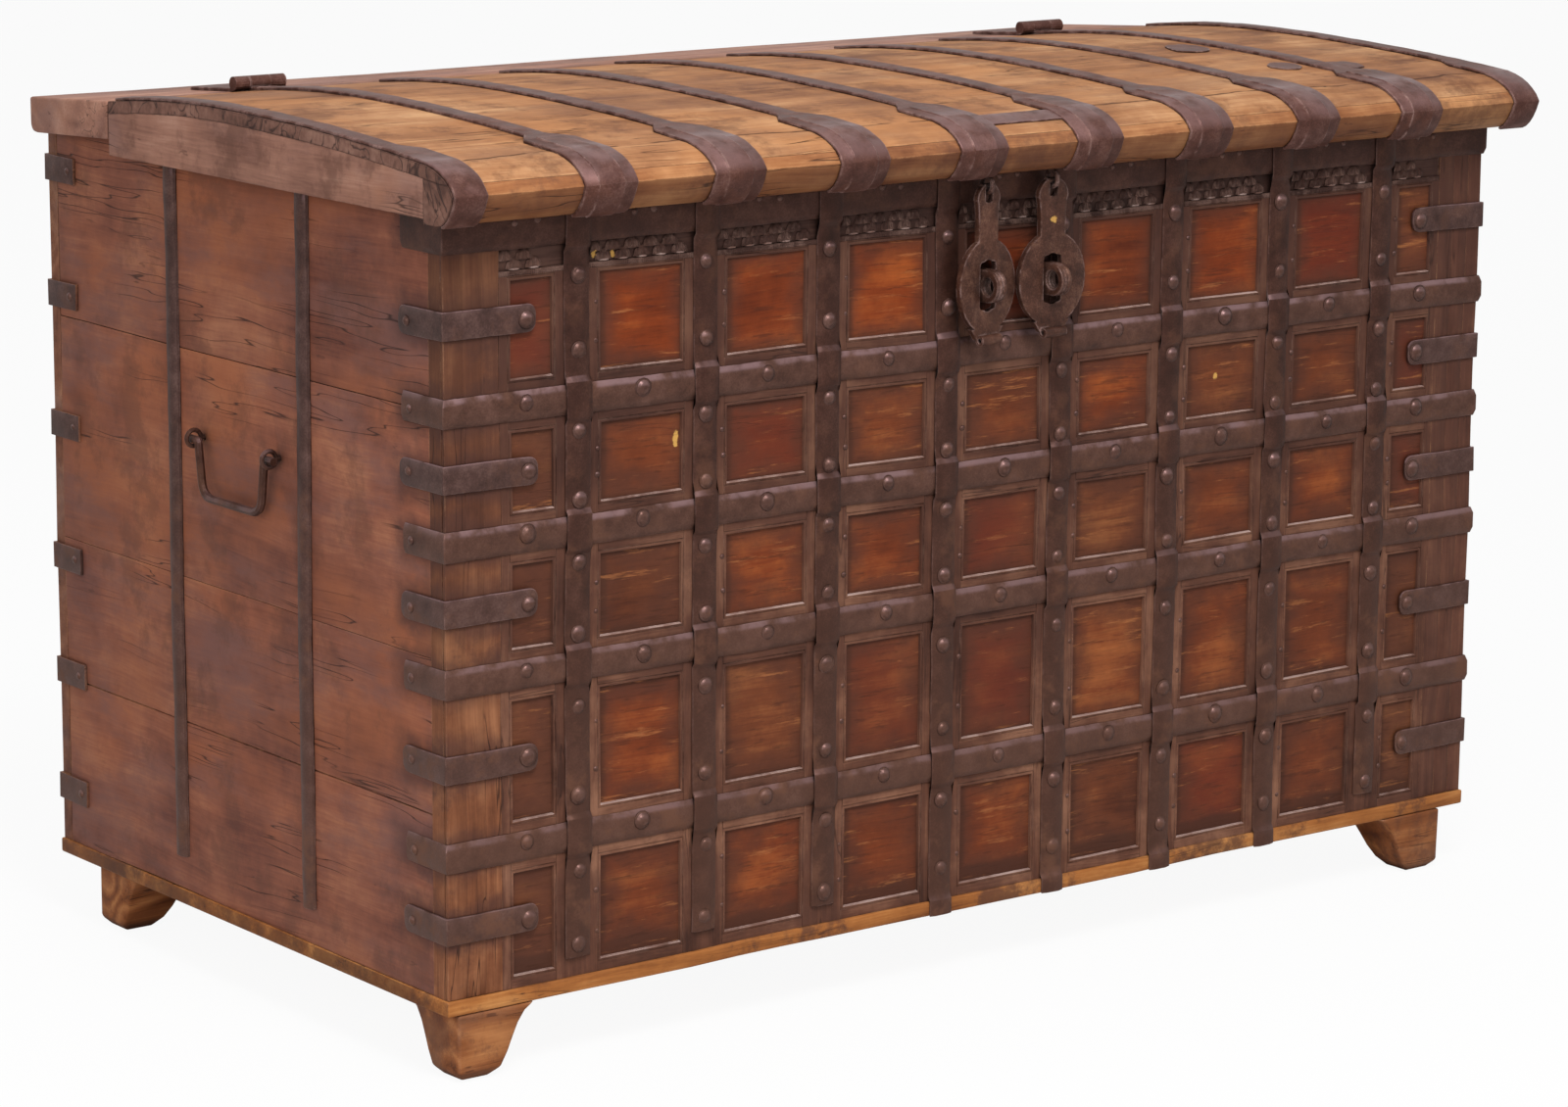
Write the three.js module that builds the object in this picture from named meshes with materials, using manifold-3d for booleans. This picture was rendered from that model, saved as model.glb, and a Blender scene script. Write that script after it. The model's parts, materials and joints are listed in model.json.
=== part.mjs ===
// Iron-bound merchant's chest: a board box on four feet, a shallow domed lid on two barrel hinges,
// a riveted lattice of wrought straps over a panelled front, two swinging hasps and two bail handles.
// Millimetres, +X to the right along the front, +Y to the back, +Z up, floor at zero.
import * as THREE from "three";
import { mergeVertices } from "three/addons/utils/BufferGeometryUtils.js";
import Module from "manifold-3d";

const wasm = await Module();
wasm.setup();

// Clearances
const SEAM = 0.3;
const OVERRUN = 5;

// Box: outside of the boards, heights counted from the top of the base board
const WIDTH = 1400;
const DEPTH = 762;
const SIDE_HEIGHT = 794;
const REAR_DROP = 10;
const FRONT_THICK = 24.5;
const REAR_THICK = 17;
const SIDE_THICK = 22;
const PLANK_JOINT_SHARES = [0.431, 0.737];
const JOINT_GROOVE_SHARE = 0.233;
const JOINT_GROOVE_DEPTH = 1.5;
const BASE_THICK = 16;
const BASE_PROUD = 3;

// Feet: a square-cut block whose two inner flanks sweep in on an ogee
const FOOT_HEIGHT = 70;
const FOOT_TOP_WIDE = 92;
const FOOT_TOP_DEEP = 86;
const FOOT_TOE_WIDE = 40;
const FOOT_TOE_CHAMFER = 9;
const FOOT_INSET_LEFT = 13;
const FOOT_INSET_RIGHT = 36;
const FOOT_INSET_FRONT = 0;
const FOOT_INSET_REAR = 64;

// Panelled front: a sheet of fillets and stiles with a window for every field
const MOULDING_THICK = 4;
const STILE = 65;
const FILLET_WIDE = 14;
const FILLET_HIGH = 12;
const BOTTOM_RAIL = 14;
const FRIEZE_HEIGHT = 31;

// Wrought straps
const STRAP_WIDE = 30;
const STRAP_THICK = 3.5;
const STRAP_BEVEL = 7;
const STRAP_BEVEL_DEEP = 2.2;
const STRAP_SIDE_REACH = 68;
const UPRIGHTS = 8;
const CROSS_SHARES = [0.183, 0.402, 0.573, 0.738];
const BAND_WIDE = 51;
const BAND_TOP_GAP = 3;
const JOGGLE = 5;
const JOGGLE_PLAY = 1.5;
const SHORT_UPRIGHT_FOOT = 20;
const BASE_WRAP_LIFT = 6;

// Short straps that tie the corners between the long ones, fused with the board that carries them
const TIE_THICK = 3;
const TIE_FRONT_SHARES = [0.09, 0.295, 0.491, 0.656, 0.846];
const TIE_FRONT_REACH = 107;
const TIE_FRONT_SIDE_REACH = 73;
const TIE_REAR_SHARES = [0.0756, 0.242, 0.403, 0.588, 0.767, 0.938];
const TIE_REAR_REACH = 57;
const TIE_WIDE = 28;

// Half-round bars on the sides
const BAR_WIDE = 22;
const BAR_THICK = 7;
const BAR_FROM = 38;
const BAR_TOP_GAP = 20;
const BAR_SHARES = [0.328, 0.66];

// Bail handles
const EYE_SHARES = [0.392, 0.585];
const EYE_HEIGHT_SHARE = 0.627;
const EYE_STAND = 13;
const EYE_WIRE = 5;
const EYE_HOLE = 12;
const EYE_SHANK = 15;
const BAIL_WIRE = 9;
const BAIL_DROP = 58;
const BAIL_BEND = 20;
const BAIL_PIN_OUT = 9;
const BAIL_SPLAY_IN = 8;

// Top: lid in front of the hinge line, fixed rail behind it
const TOP_OVERHANG = 27;
const TOP_RISE = 40;
const HINGE_SETBACK = 177;
const HINGE_SPLIT = 2;
const CROWN_SHARE = 0.491;
const CROWN_RISE = 13;
const PLANK_THICK = 13;
const RAIL_SETBACK = 10;
const RAIL_FALL = 12;
const RAIL_CORNER = 12;
const GABLE_LAP = 16;
const GABLE_GAP = 4.5;
const GABLE_RIB = 20;

// Nose: the rounded front rail of the lid
const NOSE_TOP_OUT = 36;
const NOSE_TIP_OUT = 58;
const NOSE_LOW_OUT = 30;
const NOSE_BACK_OUT = 9;
const NOSE_FALL = 7;
const NOSE_TIP_FALL = 24;
const NOSE_LAP = 21;
const SHOULDER_BACK = 12;
const SHOULDER_OUT = 48;
const SHOULDER_FALL = 5;

// Lid straps, flared where they pass over the nose
const LID_STRAP_WIDE = 26;
const LID_FLARE_WIDE = 62;
const LID_FLARE_FROM = 70;
const LID_FLARE_RUN = 26;
const LID_STRAP_THICK = 3;
const LID_STRAP_BEVEL = 1;
const EDGE_STRAP_WIDE = 24;
const EDGE_FLARE_WIDE = 38;
const EDGE_STRAP_INSET = 1.5;
const LID_STRAP_REAR_GAP = 12;

// Barrel hinges
const BARREL_RADIUS = 7.5;
const BARREL_LENGTH = 62;
const BARREL_LIFT = 0.8;
const KNUCKLE = 26;
const PIN_RADIUS = 3.6;
const LEAF_THICK = 3.5;
const LEAF_LENGTH = 78;
const LEAF_NOTCH = 9;

// Hasps, their eyes and the lock staples
const HASP_THICK = 6.5;
const HASP_BAR = 3.4;
const HASP_EYE_SLOT_WIDE = 11;
const HASP_EYE_SLOT_END = 17;
const HASP_DISC_DROP = 103;
const HASP_DISC_HIGH = 99;
const HASP_SLOT_WIDE = 24;
const HASP_SLOT_HIGH = 54;
const HASP_NECK_DROP = 57;
const HASP_TAIL_DROP = 159;
const HASP_CURL_RADIUS = 5.5;
const HASP_CURL_BORE = 2.6;
const HASP_CURL_LENGTH = 30;
const HASP_CURL_SET = 6;
const HASP_TAIL_WIDE = 24;
const HASP_OUT = 20;
const HASP_LEFT_OUT = 42;
const HASP_RIGHT_OUT = 46;
const HASP_LEFT_ARM_WIDE = 34;
const HASP_RIGHT_ARM_WIDE = 40;
const HASP_LEFT_DISC_WIDE = 84;
const HASP_RIGHT_DISC_WIDE = 90;
const HASP_LEFT_TWIST = THREE.MathUtils.degToRad(8);
const HASP_EYE_RADIUS = 8.5;
const HASP_EYE_WIRE = 2.7;
const HASP_EYE_SHANK = 22;
const STAPLE_RADIUS = 17;
const STAPLE_HOLE = 10;
const STAPLE_WIDE = 13;
const STAPLE_REACH = 47;
const STAPLE_ROOT = 15;

// Facets
const ARC_STEPS = 6;
const DISC_STEPS = 14;
const WIRE_SIDES = 8;
const DOME_STEPS = 12;

// Shares that give the curves their character
const OGEE_SHARES = [0.5, 0.75, 0.45, 0.15];
const BELLY_SHARE = 0.35;
const HALF_ROUND_SHARE = 4 / 3;
const HASP_WAIST_SHARE = 0.84;
const SLOT_ROUND_SHARE = 0.25;
const SLOT_CROWN_SHARE = 0.08;

// Worked out from the sizes above
const HALF = WIDTH / 2;
const TOP_HALF = HALF + TOP_OVERHANG;
const REAR_HEIGHT = SIDE_HEIGHT - REAR_DROP;
const FRONT_PLANE = 0;
const FIELD_PLANE = MOULDING_THICK + SEAM;
const UPRIGHT_PITCH = WIDTH / (UPRIGHTS + 1);
const CROSS_HEIGHTS = CROSS_SHARES.map((share) => share * SIDE_HEIGHT);
const BAND_TOP = SIDE_HEIGHT - BAND_TOP_GAP;
const BAND_LOW = BAND_TOP - BAND_WIDE;
const EYE_PLACES = EYE_SHARES.map((share) => share * DEPTH);
const EYE_HEIGHT = EYE_HEIGHT_SHARE * SIDE_HEIGHT;
const HINGE_LINE = DEPTH - HINGE_SETBACK;
const HINGE_TOP_HEIGHT = SIDE_HEIGHT + TOP_RISE;
const CROWN_LINE = CROWN_SHARE * DEPTH;
const CROWN_HEIGHT = HINGE_TOP_HEIGHT + CROWN_RISE;
const LID_REAR = HINGE_LINE - HINGE_SPLIT;
const RAIL_FRONT = HINGE_LINE + HINGE_SPLIT;
const RAIL_END_LINE = DEPTH - RAIL_SETBACK;
const RAIL_END_HEIGHT = HINGE_TOP_HEIGHT - RAIL_FALL;
const NOSE_TOP_HEIGHT = HINGE_TOP_HEIGHT - NOSE_FALL;
const NOSE_TIP_HEIGHT = NOSE_TOP_HEIGHT - NOSE_TIP_FALL;
const NOSE_LOW_HEIGHT = SIDE_HEIGHT - NOSE_LAP;
const BARREL_HEIGHT = HINGE_TOP_HEIGHT + SEAM + BARREL_RADIUS + BARREL_LIFT;
const HASP_EYE_HEIGHT = NOSE_LOW_HEIGHT - SEAM - HASP_EYE_RADIUS - HASP_EYE_WIRE;
const HASP_HANG = HASP_EYE_RADIUS - HASP_EYE_WIRE - HASP_BAR - SEAM;
const STAPLE_HEIGHT = HASP_EYE_HEIGHT - HASP_HANG - HASP_DISC_DROP;
const BAIL_HANG = (EYE_HOLE - BAIL_WIRE) / 2 - SEAM;
const FOOTPRINT_MIDDLE = (DEPTH + BASE_PROUD - NOSE_TIP_OUT) / 2;
const HASPS = [
  {
    side: "left",
    x: -HASP_LEFT_OUT,
    wide: HASP_LEFT_ARM_WIDE,
    disc: HASP_LEFT_DISC_WIDE,
    twist: HASP_LEFT_TWIST,
  },
  {
    side: "right",
    x: HASP_RIGHT_OUT,
    wide: HASP_RIGHT_ARM_WIDE,
    disc: HASP_RIGHT_DISC_WIDE,
    twist: 0,
  },
];

const wood = (color) => new THREE.MeshStandardMaterial({ color, roughness: 0.75, metalness: 0 });
const iron = (color) => new THREE.MeshStandardMaterial({ color, roughness: 0.55, metalness: 0.7 });
const frontWood = wood(0x8a4f2b);
const mouldingWood = wood(0x6e4b37);
const sideWood = wood(0x8c5541);
const lidWood = wood(0xbe8750);
const gableWood = wood(0x966e5a);
const noseWood = wood(0xa86b38);
const baseWood = wood(0xbe8241);
const footWood = wood(0xa5693c);
const strapIron = iron(0x503c3a);
const haspIron = iron(0x5a4240);

// A closed mesh from rings of points: every ring has the same count, both ends are capped
function skin(rings) {
  const count = rings[0].length;
  const points = rings.flat();
  const faces = [];
  for (let r = 0; r + 1 < rings.length; r++) {
    for (let k = 0; k < count; k++) {
      const a = r * count + k;
      const b = r * count + ((k + 1) % count);
      faces.push(a, b, b + count, a, b + count, a + count);
    }
  }
  const last = (rings.length - 1) * count;
  for (let k = 1; k + 1 < count; k++) {
    faces.push(0, k + 1, k, last, last + k, last + k + 1);
  }
  let volume = 0;
  for (let f = 0; f < faces.length; f += 3) {
    const [a, b, c] = [points[faces[f]], points[faces[f + 1]], points[faces[f + 2]]];
    volume += a.dot(b.clone().cross(c));
  }
  if (volume < 0) faces.reverse();
  const geometry = new THREE.BufferGeometry();
  geometry.setFromPoints(points);
  geometry.setIndex(faces);
  return geometry;
}

// Sweeps a section along a flat path with mitred corners. The section is a list of [across, out] pairs:
// across is square to the path's plane, and out is to the left of the way along the path.
function sweep(path, sectionAt, place) {
  const heading = (a, b) => b.clone().sub(a).normalize();
  const rings = path.map((point, i) => {
    const before = heading(path[Math.max(i - 1, 0)], path[Math.max(i, 1)]);
    const after = heading(path[Math.min(i, path.length - 2)], path[Math.min(i + 1, path.length - 1)]);
    const left = new THREE.Vector2(-before.y - after.y, before.x + after.x).normalize();
    const stretch = 1 / left.dot(new THREE.Vector2(-before.y, before.x));
    return sectionAt(i).map(([across, out]) => {
      const at = point.clone().addScaledVector(left, out * stretch);
      return place(across, at.x, at.y);
    });
  });
  return skin(rings);
}

const acrossX = (across, u, v) => new THREE.Vector3(across, u, v);
const acrossZ = (across, u, v) => new THREE.Vector3(u, v, across);

// A flat bar with its two outer edges bevelled, lying a seam's width off the path
function strapSection(from, to, thick, bevel, deep = bevel) {
  const low = SEAM;
  const high = SEAM + thick;
  return [
    [from, low],
    [from, high - deep],
    [from + bevel, high],
    [to - bevel, high],
    [to, high - deep],
    [to, low],
  ];
}

function roundSection(radius, sides) {
  return Array.from({ length: sides }, (_, k) => {
    const angle = (2 * Math.PI * k) / sides;
    return [radius * Math.cos(angle), radius * Math.sin(angle)];
  });
}

// A path with each inner corner replaced by an arc
function roundedPath(corners, radius) {
  const out = [corners[0]];
  for (let i = 1; i + 1 < corners.length; i++) {
    const toward = corners[i - 1].clone().sub(corners[i]).normalize();
    const onward = corners[i + 1].clone().sub(corners[i]).normalize();
    const half = Math.acos(THREE.MathUtils.clamp(toward.dot(onward), -1, 1)) / 2;
    const run = radius / Math.tan(half);
    const start = corners[i].clone().addScaledVector(toward, run);
    const end = corners[i].clone().addScaledVector(onward, run);
    const curve = new THREE.QuadraticBezierCurve(start, corners[i], end);
    out.push(...curve.getPoints(ARC_STEPS));
  }
  out.push(corners[corners.length - 1]);
  return out;
}

function box(x0, x1, y0, y1, z0, z1) {
  const geometry = new THREE.BoxGeometry(x1 - x0, y1 - y0, z1 - z0);
  return geometry.translate((x0 + x1) / 2, (y0 + y1) / 2, (z0 + z1) / 2);
}

function extrude(shape, depth, steps = ARC_STEPS) {
  return new THREE.ExtrudeGeometry(shape, { depth, bevelEnabled: false, curveSegments: steps });
}

// An outline in the plane of the chest's end, given as [y, z] points, as long as it reaches along X
function prismX(shape, x0, x1) {
  const turn = new THREE.Matrix4().set(0, 0, 1, x0, 1, 0, 0, 0, 0, 1, 0, 0, 0, 0, 0, 1);
  return extrude(shape, x1 - x0).applyMatrix4(turn);
}

// An outline in the plane of the chest's front, given as [x, z] points, reaching back along Y
function prismY(shape, y0, y1, steps = ARC_STEPS) {
  const turn = new THREE.Matrix4().set(1, 0, 0, 0, 0, 0, -1, y1, 0, 1, 0, 0, 0, 0, 0, 1);
  return extrude(shape, y1 - y0, steps).applyMatrix4(turn);
}

const prismZ = (shape, z0, z1) => extrude(shape, z1 - z0).translate(0, 0, z0);

function rod(axis, radius, x, y, z, from, to) {
  const geometry = new THREE.CylinderGeometry(radius, radius, to - from, 2 * WIRE_SIDES);
  geometry.translate(0, (from + to) / 2, 0);
  if (axis === "x") geometry.rotateZ(-Math.PI / 2);
  if (axis === "z") geometry.rotateX(Math.PI / 2);
  return geometry.translate(x, y, z);
}

const outline = (points) => new THREE.Shape(points.map(([a, b]) => new THREE.Vector2(a, b)));

function solid(geometry) {
  const bare = geometry.clone();
  bare.deleteAttribute("normal");
  bare.deleteAttribute("uv");
  const merged = mergeVertices(bare);
  const vertProperties = new Float32Array(merged.attributes.position.array);
  const triVerts = new Uint32Array(merged.index.array);
  return new wasm.Manifold(new wasm.Mesh({ numProp: 3, vertProperties, triVerts }));
}

function surface(body) {
  const mesh = body.getMesh();
  const geometry = new THREE.BufferGeometry();
  geometry.setAttribute("position", new THREE.BufferAttribute(new Float32Array(mesh.vertProperties), 3));
  geometry.setIndex(new THREE.BufferAttribute(new Uint32Array(mesh.triVerts), 1));
  return geometry;
}

const join = (...shapes) => surface(shapes.map(solid).reduce((a, b) => a.add(b)));
const cut = (shape, ...tools) => surface(tools.map(solid).reduce((a, b) => a.subtract(b), solid(shape)));
const common = (a, b) => surface(solid(a).intersect(solid(b)));

const chest = new THREE.Group();
const carcass = new THREE.Group();
carcass.position.set(0, -FOOTPRINT_MIDDLE, FOOT_HEIGHT + BASE_THICK);
chest.add(carcass);

function piece(name, geometry, material, parent = carcass) {
  const mesh = new THREE.Mesh(geometry, material);
  mesh.name = name;
  parent.add(mesh);
  return mesh;
}

// Height of the top of the lid's planks at a distance back from the front
function domeHeight(y) {
  const front = y < CROWN_LINE;
  const reach = front ? CROWN_LINE + NOSE_TOP_OUT : LID_REAR - CROWN_LINE;
  const drop = CROWN_HEIGHT - (front ? NOSE_TOP_HEIGHT : HINGE_TOP_HEIGHT);
  return CROWN_HEIGHT - drop * ((CROWN_LINE - y) / reach) ** 2;
}

function domeLine(from, to, below) {
  return Array.from({ length: DOME_STEPS + 1 }, (_, k) => {
    const y = THREE.MathUtils.lerp(from, to, k / DOME_STEPS);
    return [y, domeHeight(y) - below];
  });
}

// The nose's rounded shoulder, from the top of the planks out and down to the tip
function shoulderLine() {
  const start = new THREE.Vector2(-SHOULDER_BACK, domeHeight(-SHOULDER_BACK));
  const bulge = new THREE.Vector2(-SHOULDER_OUT, NOSE_TOP_HEIGHT - SHOULDER_FALL);
  const tip = new THREE.Vector2(-NOSE_TIP_OUT, NOSE_TIP_HEIGHT);
  return new THREE.QuadraticBezierCurve(start, bulge, tip).getPoints(ARC_STEPS);
}

// The point where a falling line passes a height
function crossing(line, height) {
  const next = line.findIndex(({ y }) => y < height);
  const [above, below] = [line[next - 1], line[next]];
  return above.clone().lerp(below, (above.y - height) / (above.y - below.y));
}

// The nose's rounded belly, from its tip down and back to its flat underside
function bellyLine() {
  const tip = new THREE.Vector2(-NOSE_TIP_OUT, NOSE_TIP_HEIGHT);
  const low = new THREE.Vector2(-NOSE_LOW_OUT, NOSE_LOW_HEIGHT);
  const bulge = new THREE.Vector2(-NOSE_TIP_OUT, NOSE_LOW_HEIGHT).lerp(low, BELLY_SHARE);
  return new THREE.QuadraticBezierCurve(tip, bulge, low).getPoints(ARC_STEPS);
}

// Base board, and the boards that stand on it
function buildBoards() {
  piece(
    "bottom_board",
    box(-HALF - BASE_PROUD, HALF + BASE_PROUD, -BASE_PROUD, DEPTH + BASE_PROUD, -BASE_THICK, 0),
    baseWood,
  );
  const front = box(-HALF, HALF, FIELD_PLANE, FRONT_THICK, SEAM, SIDE_HEIGHT);
  piece("front_board", cut(front, ...stapleMortises()), frontWood);
  const rear = box(-HALF, HALF, DEPTH - REAR_THICK, DEPTH, SEAM, REAR_HEIGHT);
  const ties = cornerTies(TIE_REAR_SHARES, DEPTH, -1, TIE_REAR_REACH, TIE_REAR_REACH);
  piece("rear_board", join(rear, ...ties), sideWood);

  const near = FRONT_THICK + SEAM;
  const far = DEPTH - REAR_THICK - SEAM;
  const edges = [0, ...PLANK_JOINT_SHARES.map((share) => share * SIDE_HEIGHT), SIDE_HEIGHT];
  for (const [side, sign] of [["left", -1], ["right", 1]]) {
    const [x0, x1] = sign < 0 ? [-HALF, -HALF + SIDE_THICK] : [HALF - SIDE_THICK, HALF];
    for (let k = 0; k + 1 < edges.length; k++) {
      const low = edges[k] + SEAM;
      const high = edges[k + 1];
      const stepped = [[far, REAR_HEIGHT], [RAIL_FRONT, high], [near, high]];
      const top = k + 2 < edges.length ? [[far, high], [near, high]] : stepped;
      const shape = outline([[near, low], [far, low], ...top]);
      let board = prismX(shape, x0, x1);
      if (k === 0) board = cut(board, sawnJoint(sign));
      if (edges[k] < EYE_HEIGHT && EYE_HEIGHT < edges[k + 1]) {
        const reach = EYE_SHANK + SEAM;
        const holes = EYE_PLACES.map((y) =>
          rod("x", EYE_WIRE / 2 + SEAM, 0, y, EYE_HEIGHT, sign * HALF - reach, sign * HALF + reach),
        );
        board = cut(board, ...holes);
      }
      piece(`side_plank_${side}_${k + 1}`, board, sideWood);
    }
  }
}

// The shallow groove that a joint within the lowest plank shows on the outside
function sawnJoint(sign) {
  const [x0, x1] = [HALF - JOINT_GROOVE_DEPTH, HALF + OVERRUN].map((x) => sign * x);
  const low = JOINT_GROOVE_SHARE * SIDE_HEIGHT - JOINT_GROOVE_DEPTH / 2;
  return box(Math.min(x0, x1), Math.max(x0, x1), -OVERRUN, DEPTH + OVERRUN, low, low + JOINT_GROOVE_DEPTH);
}

// The pockets that the lock staples' roots are driven into
function stapleMortises() {
  const half = STAPLE_WIDE / 2 + SEAM;
  const tall = STAPLE_RADIUS + SEAM;
  return HASPS.map(({ x }) =>
    box(x - half, x + half, -OVERRUN, STAPLE_ROOT + SEAM, STAPLE_HEIGHT - tall, STAPLE_HEIGHT + tall),
  );
}

// Short angle straps at both ends of a board: one leg lies on the board, the other a seam off the side.
// Inward is 1 where the sides run back from the board, and -1 where they run forward.
function cornerTies(shares, plane, inward, reach, sideReach) {
  const ties = [];
  for (const share of shares) {
    const low = share * SIDE_HEIGHT - TIE_WIDE / 2;
    for (const sign of [-1, 1]) {
      const inside = sign * (HALF + SEAM);
      const outside = sign * (HALF + SEAM + TIE_THICK);
      const tip = sign * (HALF - reach);
      const face = plane + inward * SEAM;
      const skinLine = plane - inward * TIE_THICK;
      const sideTip = plane + inward * sideReach;
      const shape = outline([
        [tip, face],
        [sign * HALF, face],
        [sign * HALF, plane],
        [inside, plane],
        [inside, sideTip],
        [outside, sideTip],
        [outside, skinLine],
        [tip, skinLine],
      ]);
      ties.push(prismZ(shape, low, low + TIE_WIDE));
    }
  }
  return ties;
}

// Feet: the outer faces stand plumb, the two inner flanks curve in to a small toe
function buildFeet() {
  const flank = (wide) => {
    const toe = FOOT_TOE_WIDE;
    const shape = new THREE.Shape();
    shape.moveTo(0, 0);
    shape.lineTo(0, -FOOT_HEIGHT + SEAM + FOOT_TOE_CHAMFER);
    shape.lineTo(FOOT_TOE_CHAMFER, -FOOT_HEIGHT + SEAM);
    shape.lineTo(toe, -FOOT_HEIGHT + SEAM);
    shape.bezierCurveTo(
      toe + (wide - toe) * OGEE_SHARES[0],
      -FOOT_HEIGHT * OGEE_SHARES[1],
      toe + (wide - toe) * OGEE_SHARES[2],
      -FOOT_HEIGHT * OGEE_SHARES[3],
      wide,
      0,
    );
    return shape;
  };
  const block = common(
    prismY(flank(FOOT_TOP_WIDE), 0, FOOT_TOP_DEEP),
    prismX(flank(FOOT_TOP_DEEP), 0, FOOT_TOP_WIDE),
  );
  const top = -BASE_THICK - SEAM;
  for (const [across, sx] of [["left", 1], ["right", -1]]) {
    for (const [along, sy] of [["front", 1], ["rear", -1]]) {
      const inX = sx > 0 ? FOOT_INSET_LEFT : FOOT_INSET_RIGHT;
      const inY = sy > 0 ? FOOT_INSET_FRONT : FOOT_INSET_REAR;
      const geometry = block.clone().scale(sx, sy, 1);
      if (sx * sy < 0) geometry.index.array.reverse();
      const x = sx * (-HALF - BASE_PROUD + inX);
      const y = sy > 0 ? -BASE_PROUD + inY : DEPTH + BASE_PROUD - inY;
      piece(`foot_${along}_${across}`, geometry.translate(x, y, top), footWood);
    }
  }
}

const uprightCentre = (k) => (k - (UPRIGHTS - 1) / 2) * UPRIGHT_PITCH;

// The sheet of fillets: one window for each field between the straps and the corner stiles
function buildMoulding() {
  const sheet = box(-HALF, HALF, FRONT_PLANE, MOULDING_THICK, SEAM, SIDE_HEIGHT);
  const half = STRAP_WIDE / 2;
  const lows = [BOTTOM_RAIL, ...CROSS_HEIGHTS.map((z) => z + half + FILLET_HIGH)];
  const highs = [...CROSS_HEIGHTS.map((z) => z - half - FILLET_HIGH), BAND_LOW - FRIEZE_HEIGHT];
  const windows = [];
  for (let c = 0; c <= UPRIGHTS; c++) {
    const left = (c > 0 ? uprightCentre(c - 1) + half : -HALF + STILE) + FILLET_WIDE;
    const right = (c < UPRIGHTS ? uprightCentre(c) - half : HALF - STILE) - FILLET_WIDE;
    lows.forEach((low, r) => {
      windows.push(box(left, right, FRONT_PLANE - OVERRUN, MOULDING_THICK + OVERRUN, low, highs[r]));
    });
  }
  const ties = cornerTies(TIE_FRONT_SHARES, FRONT_PLANE, 1, TIE_FRONT_REACH, TIE_FRONT_SIDE_REACH);
  piece("front_moulding", join(cut(sheet, ...windows, ...stapleMortises()), ...ties), mouldingWood);
}

// Straps that run across the front and wrap round both corners on to the sides
function wrapStrap(name, low, high) {
  const path = [
    [HALF, STRAP_SIDE_REACH],
    [HALF, FRONT_PLANE],
    [-HALF, FRONT_PLANE],
    [-HALF, STRAP_SIDE_REACH],
  ].map(([x, y]) => new THREE.Vector2(x, y));
  const section = strapSection(low, high, STRAP_THICK, STRAP_BEVEL, STRAP_BEVEL_DEEP);
  piece(name, sweep(path, () => section, acrossZ), strapIron);
}

// Uprights lie on the fillets, and step out over every strap that they cross
function buildUprights() {
  const lift = STRAP_THICK + SEAM;
  const reach = STRAP_WIDE / 2 + JOGGLE_PLAY;
  const section = strapSection(-STRAP_WIDE / 2, STRAP_WIDE / 2, STRAP_THICK, STRAP_BEVEL, STRAP_BEVEL_DEEP);
  for (let k = 0; k < UPRIGHTS; k++) {
    const long = k > 2 && k < UPRIGHTS - 1;
    const overBase = [[-BASE_PROUD, -BASE_THICK], [-BASE_PROUD, 0], [0, BASE_WRAP_LIFT]];
    const path = long ? overBase : [[0, SHORT_UPRIGHT_FOOT]];
    for (const z of CROSS_HEIGHTS) {
      path.push([0, z - reach - JOGGLE], [-lift, z - reach], [-lift, z + reach], [0, z + reach + JOGGLE]);
    }
    path.push([0, BAND_LOW - JOGGLE_PLAY - JOGGLE], [-lift, BAND_LOW - JOGGLE_PLAY], [-lift, BAND_TOP]);
    const points = path.map(([y, z]) => new THREE.Vector2(y, z));
    const geometry = sweep(points, () => section, acrossX).translate(uprightCentre(k), 0, 0);
    piece(`upright_strap_${k + 1}`, geometry, strapIron);
  }
}

// Half-round bars that tie the side planks together
function buildSideBars() {
  for (const [side, sign] of [["left", -1], ["right", 1]]) {
    BAR_SHARES.forEach((share, k) => {
      const place = share * DEPTH;
      const shape = new THREE.Shape();
      const foot = sign * (HALF + SEAM);
      shape.moveTo(foot, place - BAR_WIDE / 2);
      shape.bezierCurveTo(
        foot + sign * BAR_THICK * HALF_ROUND_SHARE,
        place - BAR_WIDE / 2,
        foot + sign * BAR_THICK * HALF_ROUND_SHARE,
        place + BAR_WIDE / 2,
        foot,
        place + BAR_WIDE / 2,
      );
      piece(`side_bar_${side}_${k + 1}`, prismZ(shape, BAR_FROM, SIDE_HEIGHT - BAR_TOP_GAP), strapIron);
    });
  }
}

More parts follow.
